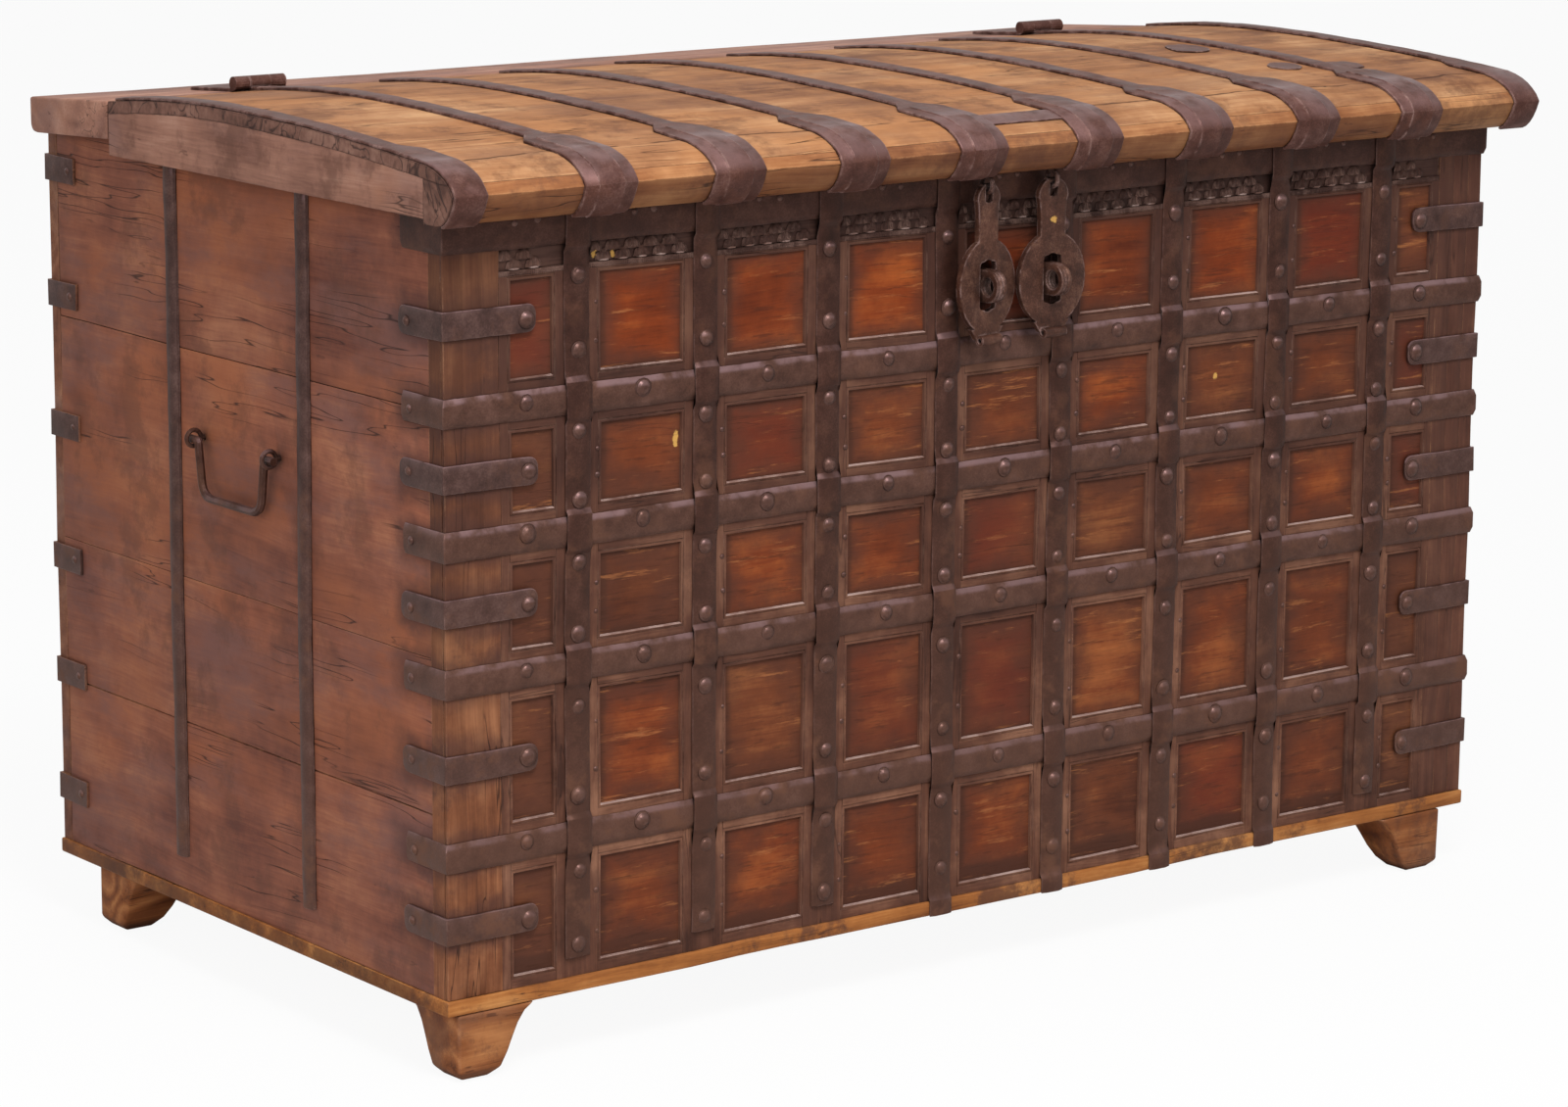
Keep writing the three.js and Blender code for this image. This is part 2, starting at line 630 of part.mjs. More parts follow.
// Each bail's pins turn in two round eyes, whose shanks are driven through the side
function buildHandles() {
  const ring = (EYE_HOLE + EYE_WIRE) / 2;
  for (const [side, sign] of [["left", -1], ["right", 1]]) {
    const x = sign * (HALF + EYE_STAND);
    EYE_PLACES.forEach((y, k) => {
      const loop = new THREE.TorusGeometry(ring, EYE_WIRE / 2, WIRE_SIDES, 2 * WIRE_SIDES);
      loop.rotateX(Math.PI / 2).translate(x, y, EYE_HEIGHT);
      const inner = HALF - EYE_SHANK;
      const outer = HALF + EYE_STAND - ring;
      const shank = sign > 0
        ? rod("x", EYE_WIRE / 2, 0, y, EYE_HEIGHT, inner, outer)
        : rod("x", EYE_WIRE / 2, 0, y, EYE_HEIGHT, -outer, -inner);
      piece(`handle_eye_${side}_${k + 1}`, join(loop, shank), strapIron);
    });
    const high = EYE_HEIGHT - BAIL_HANG;
    const low = high - BAIL_DROP;
    const [near, far] = EYE_PLACES;
    const corners = [
      [near - BAIL_PIN_OUT, high],
      [near + BAIL_PIN_OUT, high],
      [near + BAIL_PIN_OUT + BAIL_SPLAY_IN, low],
      [far - BAIL_PIN_OUT - BAIL_SPLAY_IN, low],
      [far - BAIL_PIN_OUT, high],
      [far + BAIL_PIN_OUT, high],
    ].map(([y, z]) => new THREE.Vector2(y, z));
    const path = [
      ...roundedPath(corners.slice(0, 3), BAIL_WIRE / 2).slice(0, -1),
      ...roundedPath(corners.slice(1, 5), BAIL_BEND).slice(1, -1),
      ...roundedPath(corners.slice(3, 6), BAIL_WIRE / 2).slice(1),
    ];
    const geometry = sweep(path, () => roundSection(BAIL_WIRE / 2, WIRE_SIDES), acrossX).translate(x, 0, 0);
    piece(`handle_bail_${side}`, geometry, strapIron);
  }
}

// The fixed part of the top, behind the hinge line, with its lower rear corner rounded
function buildRearRail() {
  const slope = (REAR_HEIGHT - SIDE_HEIGHT) / (DEPTH - REAR_THICK - RAIL_FRONT);
  const low = (y) => SIDE_HEIGHT + SEAM + slope * (Math.min(y, DEPTH - REAR_THICK) - RAIL_FRONT);
  const shape = new THREE.Shape();
  shape.moveTo(RAIL_FRONT, low(RAIL_FRONT));
  shape.lineTo(RAIL_END_LINE - RAIL_CORNER, low(RAIL_END_LINE - RAIL_CORNER) + SEAM);
  shape.quadraticCurveTo(
    RAIL_END_LINE,
    low(RAIL_END_LINE) + SEAM,
    RAIL_END_LINE,
    low(RAIL_END_LINE) + RAIL_CORNER,
  );
  shape.lineTo(RAIL_END_LINE, RAIL_END_HEIGHT);
  shape.lineTo(RAIL_FRONT, HINGE_TOP_HEIGHT);
  piece("rear_rail", prismX(shape, -TOP_HALF, TOP_HALF), gableWood);
}

// Lid: planks over two end boards, with the nose rail lapping down in front of the box
function buildLid() {
  const under = PLANK_THICK + SEAM;
  const shoulder = shoulderLine();
  const plankEdge = NOSE_TOP_HEIGHT - PLANK_THICK;
  const railEdge = NOSE_TOP_HEIGHT - under;
  const asPair = ({ x, y }) => [x, y];
  const planks = [
    ...domeLine(-SHOULDER_BACK, LID_REAR, 0),
    ...domeLine(-NOSE_TOP_OUT, LID_REAR, PLANK_THICK).reverse(),
    asPair(crossing(shoulder, plankEdge)),
    ...shoulder.slice(1).filter(({ y }) => y > plankEdge).reverse().map(asPair),
  ];
  piece("lid_planks", prismX(outline(planks), -TOP_HALF, TOP_HALF), lidWood, lid);

  const nose = outline([
    [-NOSE_BACK_OUT, domeHeight(-NOSE_BACK_OUT) - under],
    [-NOSE_TOP_OUT, railEdge],
    asPair(crossing(shoulder, railEdge)),
    ...shoulder.slice(0, -1).filter(({ y }) => y < railEdge).map(asPair),
    ...bellyLine().map(asPair),
    [-NOSE_BACK_OUT, NOSE_LOW_HEIGHT],
  ]);
  const seatFrom = -NOSE_BACK_OUT - OVERRUN;
  const seatTo = FRONT_THICK;
  const seat = outline([
    [seatFrom, SIDE_HEIGHT + SEAM],
    [seatTo, SIDE_HEIGHT + SEAM],
    [seatTo, domeHeight(seatTo) - under],
    [-NOSE_BACK_OUT, domeHeight(-NOSE_BACK_OUT) - under],
    [seatFrom, domeHeight(seatFrom) - under],
  ]);
  const skirt = HALF + GABLE_GAP;
  const gableLow = SIDE_HEIGHT - GABLE_LAP;
  const noseRail = join(prismX(nose, -TOP_HALF, TOP_HALF), prismX(seat, -skirt + SEAM, skirt - SEAM));
  const bores = HASPS.map(({ x }) =>
    rod(
      "z",
      HASP_EYE_WIRE + SEAM,
      x,
      -HASP_OUT,
      0,
      NOSE_LOW_HEIGHT - OVERRUN,
      NOSE_LOW_HEIGHT + HASP_EYE_SHANK + SEAM,
    ),
  );
  piece("lid_nose_rail", cut(noseRail, ...bores), noseWood, lid);

  for (const [side, sign] of [["left", -1], ["right", 1]]) {
    const front = -NOSE_BACK_OUT + SEAM;
    const board = outline([[front, gableLow], ...domeLine(front, LID_REAR, under), [LID_REAR, gableLow]]);
    const back = FRONT_THICK + SEAM;
    const rib = outline([
      [back, SIDE_HEIGHT + SEAM],
      ...domeLine(back, LID_REAR, under),
      [LID_REAR, SIDE_HEIGHT + SEAM],
    ]);
    const [x0, x1] = sign < 0 ? [-TOP_HALF, -skirt] : [skirt, TOP_HALF];
    const [r0, r1] = sign < 0 ? [-skirt - SEAM, -HALF + GABLE_RIB] : [HALF - GABLE_RIB, skirt + SEAM];
    piece(`lid_end_${side}`, join(prismX(board, x0, x1), prismX(rib, r0, r1)), gableWood, lid);
  }
}

// The line that a lid strap follows: up round the nose's belly, over its edge and back along the dome
function lidStrapPath() {
  const flareEnd = LID_FLARE_FROM - LID_FLARE_RUN;
  const rear = LID_REAR - LID_STRAP_REAR_GAP;
  const dome = [(flareEnd - SHOULDER_BACK) / 2, flareEnd, LID_FLARE_FROM];
  for (let k = 1; k <= DOME_STEPS; k++) {
    dome.push(THREE.MathUtils.lerp(LID_FLARE_FROM, rear, k / DOME_STEPS));
  }
  const nose = [...shoulderLine(), ...bellyLine().slice(1, -1)].reverse();
  return [...nose, ...dome.map((y) => new THREE.Vector2(y, domeHeight(y)))];
}

function buildLidStraps() {
  const path = lidStrapPath();
  const flared = LID_FLARE_FROM - LID_FLARE_RUN;
  const widen = (y, narrow, wide) =>
    THREE.MathUtils.clamp(THREE.MathUtils.mapLinear(y, flared, LID_FLARE_FROM, wide, narrow), narrow, wide);
  const section = (from, to) => strapSection(from, to, LID_STRAP_THICK, LID_STRAP_BEVEL);
  for (let k = 0; k < UPRIGHTS; k++) {
    const sectionAt = (i) => {
      const half = widen(path[i].x, LID_STRAP_WIDE, LID_FLARE_WIDE) / 2;
      return section(-half, half);
    };
    let strap = sweep(path, sectionAt, acrossX);
    if (k === 0 || k === UPRIGHTS - 1) strap = hingeStrap(strap);
    piece(`lid_strap_${k + 1}`, strap.translate(uprightCentre(k), 0, 0), strapIron, lid);
  }
  for (const [side, sign] of [["left", -1], ["right", 1]]) {
    const outer = TOP_HALF - EDGE_STRAP_INSET;
    const sectionAt = (i) => {
      const inner = outer - widen(path[i].x, EDGE_STRAP_WIDE, EDGE_FLARE_WIDE);
      return sign > 0 ? section(inner, outer) : section(-outer, -inner);
    };
    piece(`lid_edge_strap_${side}`, sweep(path, sectionAt, acrossX), strapIron, lid);
  }
}

// Hinges: the lid's leaf is a strap that ends in the middle knuckle; the fixed leaf carries two and the pin
function hingeStrap(strap) {
  const half = KNUCKLE / 2 - SEAM;
  const from = LID_REAR - LID_STRAP_REAR_GAP - OVERRUN;
  const path = [from, (from + LID_REAR) / 2, LID_REAR].map((y) => new THREE.Vector2(y, domeHeight(y)));
  path.push(new THREE.Vector2(HINGE_LINE, HINGE_TOP_HEIGHT));
  const tongue = sweep(path, () => strapSection(-half, half, LEAF_THICK, LID_STRAP_BEVEL), acrossX);
  const barrel = rod("x", BARREL_RADIUS, 0, HINGE_LINE, BARREL_HEIGHT, -half, half);
  const bore = rod("x", PIN_RADIUS + SEAM, 0, HINGE_LINE, BARREL_HEIGHT, -KNUCKLE, KNUCKLE);
  return cut(join(strap, tongue, barrel), bore);
}

function buildHinges() {
  const half = BARREL_LENGTH / 2;
  const inner = KNUCKLE / 2;
  const fall = (RAIL_END_HEIGHT - HINGE_TOP_HEIGHT) / (RAIL_END_LINE - RAIL_FRONT);
  const onRail = (y) => new THREE.Vector2(y, HINGE_TOP_HEIGHT + fall * Math.max(y - RAIL_FRONT, 0));
  const section = (from, to) => () => strapSection(from, to, LEAF_THICK, LID_STRAP_BEVEL);
  const start = HINGE_LINE + LEAF_NOTCH;
  const leaf = sweep([onRail(start), onRail(start + LEAF_LENGTH)], section(-half, half), acrossX);
  const tonguePath = [onRail(HINGE_LINE), onRail(RAIL_FRONT), onRail(start + OVERRUN)];
  const parts = [leaf];
  for (const [from, to] of [[-half, -inner], [inner, half]]) {
    parts.push(sweep(tonguePath, section(from, to), acrossX));
    parts.push(rod("x", BARREL_RADIUS, 0, HINGE_LINE, BARREL_HEIGHT, from, to));
  }
  parts.push(rod("x", PIN_RADIUS, 0, HINGE_LINE, BARREL_HEIGHT, -half + OVERRUN, half - OVERRUN));
  const hinge = join(...parts);
  for (const [side, k] of [["left", 0], ["right", UPRIGHTS - 1]]) {
    piece(`hinge_${side}`, hinge.clone().translate(uprightCentre(k), 0, 0), strapIron);
  }
}

// Hasps: an arm whose round top bar hangs in its eye, a disc with the lock slot, and a curled pull.
// Below its bar a plate may be twisted a little about its length, as the left one is.
function haspPlate(wide, disc, twist) {
  const thick = HASP_THICK / 2;
  const half = wide / 2;
  const arm = new THREE.Shape();
  arm.moveTo(-half * HASP_WAIST_SHARE, -HASP_NECK_DROP);
  arm.quadraticCurveTo(-half * HASP_WAIST_SHARE, -half, -half, HASP_BAR - half);
  arm.absarc(0, HASP_BAR - half, half, Math.PI, 0, true);
  arm.quadraticCurveTo(half * HASP_WAIST_SHARE, -half, half * HASP_WAIST_SHARE, -HASP_NECK_DROP);
  arm.lineTo(half * HASP_WAIST_SHARE, -HASP_DISC_DROP);
  arm.lineTo(-half * HASP_WAIST_SHARE, -HASP_DISC_DROP);
  const face = new THREE.Shape();
  face.absellipse(0, -HASP_DISC_DROP, disc / 2, HASP_DISC_HIGH / 2, 0, 2 * Math.PI);
  const low = HASP_DISC_DROP + HASP_DISC_HIGH / 2;
  const tail = outline([
    [-HASP_TAIL_WIDE, HASP_CURL_RADIUS - low],
    [-HASP_CURL_LENGTH / 2, -HASP_TAIL_DROP],
    [HASP_CURL_LENGTH / 2, -HASP_TAIL_DROP],
    [HASP_TAIL_WIDE, HASP_CURL_RADIUS - low],
  ]);
  const slot = (across, top, bottom) => {
    const shape = new THREE.Shape();
    const side = across / 2;
    const round = across * SLOT_ROUND_SHARE;
    const crown = across * SLOT_CROWN_SHARE;
    shape.moveTo(-side, top - round);
    shape.quadraticCurveTo(-side, top - crown, round - side, top - crown);
    shape.quadraticCurveTo(0, top + crown, side - round, top - crown);
    shape.quadraticCurveTo(side, top - crown, side, top - round);
    shape.lineTo(side, bottom + round);
    shape.quadraticCurveTo(side, bottom + crown, side - round, bottom + crown);
    shape.quadraticCurveTo(0, bottom - crown, round - side, bottom + crown);
    shape.quadraticCurveTo(-side, bottom + crown, -side, bottom + round);
    return prismY(shape, -thick - OVERRUN, thick + OVERRUN);
  };
  const middle = -HASP_DISC_DROP;
  const eyeHalf = HASP_EYE_SLOT_WIDE / 2;
  const bar = rod("x", HASP_BAR, 0, 0, 0, -eyeHalf - HASP_BAR, eyeHalf + HASP_BAR);
  const tube = (radius, reach) => rod("x", radius, 0, -HASP_CURL_SET, -HASP_TAIL_DROP, -reach, reach);
  const plate = [arm, face, tail].map((shape) => prismY(shape, -thick, thick, DISC_STEPS));
  const open = cut(
    join(...plate, tube(HASP_CURL_RADIUS, HASP_CURL_LENGTH / 2)),
    slot(HASP_EYE_SLOT_WIDE, wide, -HASP_EYE_SLOT_END),
    slot(HASP_SLOT_WIDE, middle + HASP_SLOT_HIGH / 2, middle - HASP_SLOT_HIGH / 2),
    tube(HASP_CURL_BORE, HASP_CURL_LENGTH),
  );
  return join(open.rotateZ(twist), bar);
}

function buildHasps() {
  const ring = new THREE.TorusGeometry(HASP_EYE_RADIUS, HASP_EYE_WIRE, WIRE_SIDES, 2 * WIRE_SIDES);
  ring.rotateY(Math.PI / 2);
  const shankTop = NOSE_LOW_HEIGHT + HASP_EYE_SHANK - HASP_EYE_HEIGHT;
  const eye = join(ring, rod("z", HASP_EYE_WIRE, 0, 0, 0, HASP_EYE_RADIUS, shankTop));
  const reach = STAPLE_REACH - STAPLE_RADIUS;
  const loop = new THREE.Shape();
  loop.moveTo(STAPLE_ROOT, -STAPLE_RADIUS);
  loop.lineTo(STAPLE_ROOT, STAPLE_RADIUS);
  loop.lineTo(-reach, STAPLE_RADIUS);
  loop.absarc(-reach, 0, STAPLE_RADIUS, Math.PI / 2, (3 * Math.PI) / 2, false);
  const hole = new THREE.Path();
  hole.absarc(-reach, 0, STAPLE_HOLE, 0, 2 * Math.PI, true);
  loop.holes.push(hole);
  for (const { side, x, wide, disc, twist } of HASPS) {
    const hanger = new THREE.Group();
    hanger.position.set(x, -HASP_OUT, HASP_EYE_HEIGHT - HASP_HANG);
    lid.add(hanger);
    piece(`hasp_eye_${side}`, eye.clone().translate(0, 0, HASP_HANG), haspIron, hanger);
    piece(`hasp_${side}`, haspPlate(wide, disc, twist), haspIron, hanger);
    const staple = prismX(loop, x - STAPLE_WIDE / 2, x + STAPLE_WIDE / 2);
    piece(`lock_staple_${side}`, staple.translate(0, 0, STAPLE_HEIGHT), haspIron);
  }
}

const lid = new THREE.Group();
carcass.add(lid);

buildBoards();
buildFeet();
buildMoulding();
CROSS_HEIGHTS.forEach((z, k) => wrapStrap(`cross_strap_${k + 1}`, z - STRAP_WIDE / 2, z + STRAP_WIDE / 2));
wrapStrap("top_band", BAND_LOW, BAND_TOP);
buildUprights();
buildSideBars();
buildHandles();
buildRearRail();
buildLid();
buildLidStraps();
buildHinges();
buildHasps();

export default chest;
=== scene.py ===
# %% [markdown]
# # An iron-bound merchant's chest
# The chest is a plank box on four feet under a shallow domed lid, held together by a riveted lattice of
# wrought straps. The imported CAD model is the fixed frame: it has every strap, board, hasp and handle in its
# place. This lesson dresses that frame. Boards get worn arrises and grain, the front gets its beaded panels
# and carved frieze, the straps get their hammered unevenness, and every rivet is set.

# %% Load the frame
import json
import math
import random

import bmesh
import bpy
from mathutils import Matrix, Vector

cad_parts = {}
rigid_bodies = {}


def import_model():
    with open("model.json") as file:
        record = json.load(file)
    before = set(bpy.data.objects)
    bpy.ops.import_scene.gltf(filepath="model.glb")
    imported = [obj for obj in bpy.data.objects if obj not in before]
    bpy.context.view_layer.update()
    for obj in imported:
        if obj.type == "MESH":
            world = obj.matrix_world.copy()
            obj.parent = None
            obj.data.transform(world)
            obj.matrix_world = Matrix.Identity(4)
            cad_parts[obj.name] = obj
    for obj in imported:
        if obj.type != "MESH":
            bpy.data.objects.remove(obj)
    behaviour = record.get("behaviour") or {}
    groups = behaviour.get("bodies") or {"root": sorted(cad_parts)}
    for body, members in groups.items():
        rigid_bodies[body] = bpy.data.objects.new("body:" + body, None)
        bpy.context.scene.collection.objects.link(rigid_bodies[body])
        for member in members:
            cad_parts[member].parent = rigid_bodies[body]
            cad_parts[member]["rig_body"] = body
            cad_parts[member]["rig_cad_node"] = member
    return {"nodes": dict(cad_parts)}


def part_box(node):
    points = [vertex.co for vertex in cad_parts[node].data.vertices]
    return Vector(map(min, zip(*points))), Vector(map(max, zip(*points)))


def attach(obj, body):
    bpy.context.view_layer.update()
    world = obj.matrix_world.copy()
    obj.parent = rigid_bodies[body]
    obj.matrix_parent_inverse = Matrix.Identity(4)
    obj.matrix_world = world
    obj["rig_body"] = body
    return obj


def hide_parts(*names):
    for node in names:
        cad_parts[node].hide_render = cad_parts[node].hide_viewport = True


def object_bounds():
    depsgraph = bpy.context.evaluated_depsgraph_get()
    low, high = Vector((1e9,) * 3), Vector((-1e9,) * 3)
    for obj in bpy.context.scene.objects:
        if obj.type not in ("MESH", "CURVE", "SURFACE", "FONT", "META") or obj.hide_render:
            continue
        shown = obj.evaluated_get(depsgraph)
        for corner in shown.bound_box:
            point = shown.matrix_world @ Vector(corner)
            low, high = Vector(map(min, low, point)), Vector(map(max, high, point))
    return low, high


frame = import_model()
nodes = frame["nodes"]
cad_box = [list(corner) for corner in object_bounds()]
print("CAD nodes:", len(nodes), "box:", cad_box)

# %% [markdown]
# The maker measures from the box's lower left front corner: along the front, back into the chest, and high
# above the base board. One helper turns such a place, in millimetres, into the frame's metres, so the rest of
# the lesson can use the numbers that a maker would read off a rule.

# %% Where things are
MM = 0.001
BASE_LOW, BASE_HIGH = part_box("bottom_board")
BOARD_LOW, BOARD_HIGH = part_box("front_board")
BASE_PROUD = 3 * MM
ORIGIN = Vector((BOARD_LOW.x, BASE_LOW.y + BASE_PROUD, BASE_HIGH.z))
WIDTH = (BOARD_HIGH.x - BOARD_LOW.x) / MM
HEIGHT = (BOARD_HIGH.z - BASE_HIGH.z) / MM
DEPTH = (BASE_HIGH.y - BASE_LOW.y - 2 * BASE_PROUD) / MM


def place(along, back, high):
    """A point of the chest, from millimetres along the front, back and high."""
    return ORIGIN + MM * Vector((along, back, high))


def reach(node):
    """The lowest and highest corner of a CAD node in the maker's millimetres."""
    low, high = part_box(node)
    return (low - ORIGIN) / MM, (high - ORIGIN) / MM


UPRIGHTS = [sum(c.x for c in reach(f"upright_strap_{k}")) / 2 for k in range(1, 9)]
CROSSES = [sum(c.z for c in reach(f"cross_strap_{k}")) / 2 for k in range(1, 5)]
BAND_LOW = reach("top_band")[0].z
PITCH = UPRIGHTS[1] - UPRIGHTS[0]
STRAP = reach("upright_strap_1")[1].x - reach("upright_strap_1")[0].x
print("box", round(WIDTH), round(DEPTH), round(HEIGHT), "pitch", round(PITCH, 1), "crosses", CROSSES)

# %% [markdown]
# Blender's operators act on whatever is selected, so every tool here first clears the selection and then
# picks what it needs. `pick` chooses faces or edges in edit mode by a test on their middle, which is how a
# hand would point at them.

# %% Selecting


def only(*pieces):
    """Selects these pieces and nothing else."""
    if bpy.context.object and bpy.context.object.mode != "OBJECT":
        bpy.ops.object.mode_set(mode="OBJECT")
    bpy.ops.object.select_all(action="DESELECT")
    for piece in pieces:
        piece.select_set(True)
    bpy.context.view_layer.objects.active = pieces[0] if pieces else None


def edit(piece, kind="FACE", chosen="DESELECT"):
    """Opens a piece in edit mode, with nothing selected or everything."""
    only(piece)
    bpy.ops.object.mode_set(mode="EDIT")
    bpy.ops.mesh.select_mode(type=kind)
    bpy.ops.mesh.select_all(action=chosen)


def done():
    """Leaves edit mode."""
    bpy.ops.object.mode_set(mode="OBJECT")


def pick(test, kind="faces"):
    """Selects the faces, edges or vertices whose middle, in millimetres, passes a test."""
    mesh = bmesh.from_edit_mesh(bpy.context.object.data)
    mesh.normal_update()
    for item in getattr(mesh, kind):
        if kind == "faces":
            middle, facing = item.calc_center_median(), item.normal
        elif kind == "edges":
            first, last = (v.co for v in item.verts)
            middle, facing = (first + last) / 2, (last - first).normalized()
        else:
            middle, facing = item.co, item.normal
        item.select_set(bool(test((middle - ORIGIN) / MM, facing)))
    mesh.select_flush_mode()
    bmesh.update_edit_mesh(bpy.context.object.data)

# %% Blocks, cuts and edges


def block(name, low, high):
    """A square block between two of the maker's corners: the start of a piece."""
    only()
    bpy.ops.mesh.primitive_cube_add(size=1, location=(place(*low) + place(*high)) / 2)
    piece = bpy.context.object
    piece.name = name
    piece.data.name = name
    piece.scale = place(*high) - place(*low)
    bpy.ops.object.transform_apply(location=True, rotation=False, scale=True)
    return piece


def slice_at(axis, *marks):
    """Cuts the open piece right across at each mark, in millimetres, keeping both sides."""
    normal = Vector([float(k == axis) for k in range(3)])
    for mark in marks:
        bpy.ops.mesh.select_all(action="SELECT")
        bpy.ops.mesh.bisect(plane_co=place(*(normal * mark)), plane_no=normal)
    bpy.ops.mesh.select_all(action="DESELECT")


def modify(piece, kind, **settings):
    """Adds a modifier and applies it at once."""
    only(piece)
    modifier = piece.modifiers.new(kind.title(), kind)
    for name, value in settings.items():
        setattr(modifier, name, value)
    bpy.ops.object.modifier_apply(modifier=modifier.name)


def ease(piece, width, segments=1, sharper=30):
    """Takes a bevel, in millimetres, off every edge that turns by more than an angle."""
    limit = math.radians(sharper)
    modify(piece, "BEVEL", width=width * MM, segments=segments, limit_method="ANGLE", angle_limit=limit)


def smooth(piece, angle=40):
    """Shades a piece smooth between its real edges."""
    only(piece)
    bpy.ops.object.shade_smooth_by_angle(angle=math.radians(angle))


def coat(piece, *finishes):
    """Gives a piece these finishes and no others."""
    piece.data.materials.clear()
    for finish in finishes:
        piece.data.materials.append(finish)

# %% Copies and joins


def join(name, pieces):
    """Makes one piece of several."""
    only(*pieces)
    if len(pieces) > 1:
        bpy.ops.object.join()
    pieces[0].name = name
    pieces[0].data.name = name
    return pieces[0]


def copy_of(piece, name):
    """A copy with its own mesh."""
    twin = piece.copy()
    twin.data = piece.data.copy()
    twin.name = name
    twin.data.name = name
    bpy.context.scene.collection.objects.link(twin)
    return twin


def shifted(piece, name, along):
    """A copy that lies further along the front, in millimetres."""
    twin = copy_of(piece, name)
    twin.data.transform(Matrix.Translation((along * MM, 0, 0)))
    return twin


def forged(node):
    """A welded, clean-faced copy of a CAD node, ready to be worked, which stands for the node."""
    twin = copy_of(nodes[node], f"{node}_worked")
    twin.parent = None
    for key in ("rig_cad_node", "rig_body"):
        del twin[key]
    edit(twin, chosen="SELECT")
    bpy.ops.mesh.remove_doubles(threshold=0.01 * MM)
    bpy.ops.mesh.dissolve_limited(angle_limit=math.radians(0.5))
    done()
    return twin

# %% Fitting


def fit(piece, body, slot, *stands_for):
    """Puts a finished piece on its body and hides what it stands for. The slot is not used."""
    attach(piece, body)
    if stands_for:
        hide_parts(*stands_for)
    return piece


def tell(what, pieces):
    """Prints what a step made: how many pieces, and how many faces they have."""
    print(what, len(pieces), "faces:", sum(len(piece.data.polygons) for piece in pieces))


def shave(piece):
    """Keeps every point of a piece inside the CAD model's box."""
    low, high = cad_box
    for v in piece.data.vertices:
        for axis in range(3):
            v.co[axis] = min(max(v.co[axis], low[axis]), high[axis])


# %% [markdown]
# The photograph was taken from the front left, a little above the lid, with a long lens. The camera stands
# where a fit to the box's edges puts it, so straps and corners fall where the photograph shows them.

# %% Camera
EYE = Vector((-3.1973, -4.1247, 1.4857))
SIGHT = Vector((0.5979, 0.7748, -0.2054)).normalized()
ROLL = math.radians(0.411)
LENS = 109.94


def set_camera():
    """A camera at the fitted place, turned by a matrix of its right, up and back."""
    level = SIGHT.cross(Vector((0, 0, 1))).normalized()
    raised = level.cross(SIGHT)
    right = level * math.cos(ROLL) + raised * math.sin(ROLL)
    up = right.cross(SIGHT)
    data = bpy.data.cameras.new("photo_view")
    data.lens = LENS
    data.sensor_width = 36
    data.sensor_fit = "HORIZONTAL"
    camera = bpy.data.objects.new("photo_view", data)
    camera.matrix_world = Matrix.Translation(EYE) @ Matrix((right, up, -SIGHT)).transposed().to_4x4()
    bpy.context.scene.collection.objects.link(camera)
    bpy.context.scene.camera = camera
    return camera


camera = set_camera()
print("camera at", [round(v, 3) for v in camera.location])

# %% [markdown]
# Shader sums are easier to read as sums. `Wire` holds one socket of a material: adding, multiplying or
# comparing wires adds the Math nodes, and `add` brings in any other node.

# %% Wires


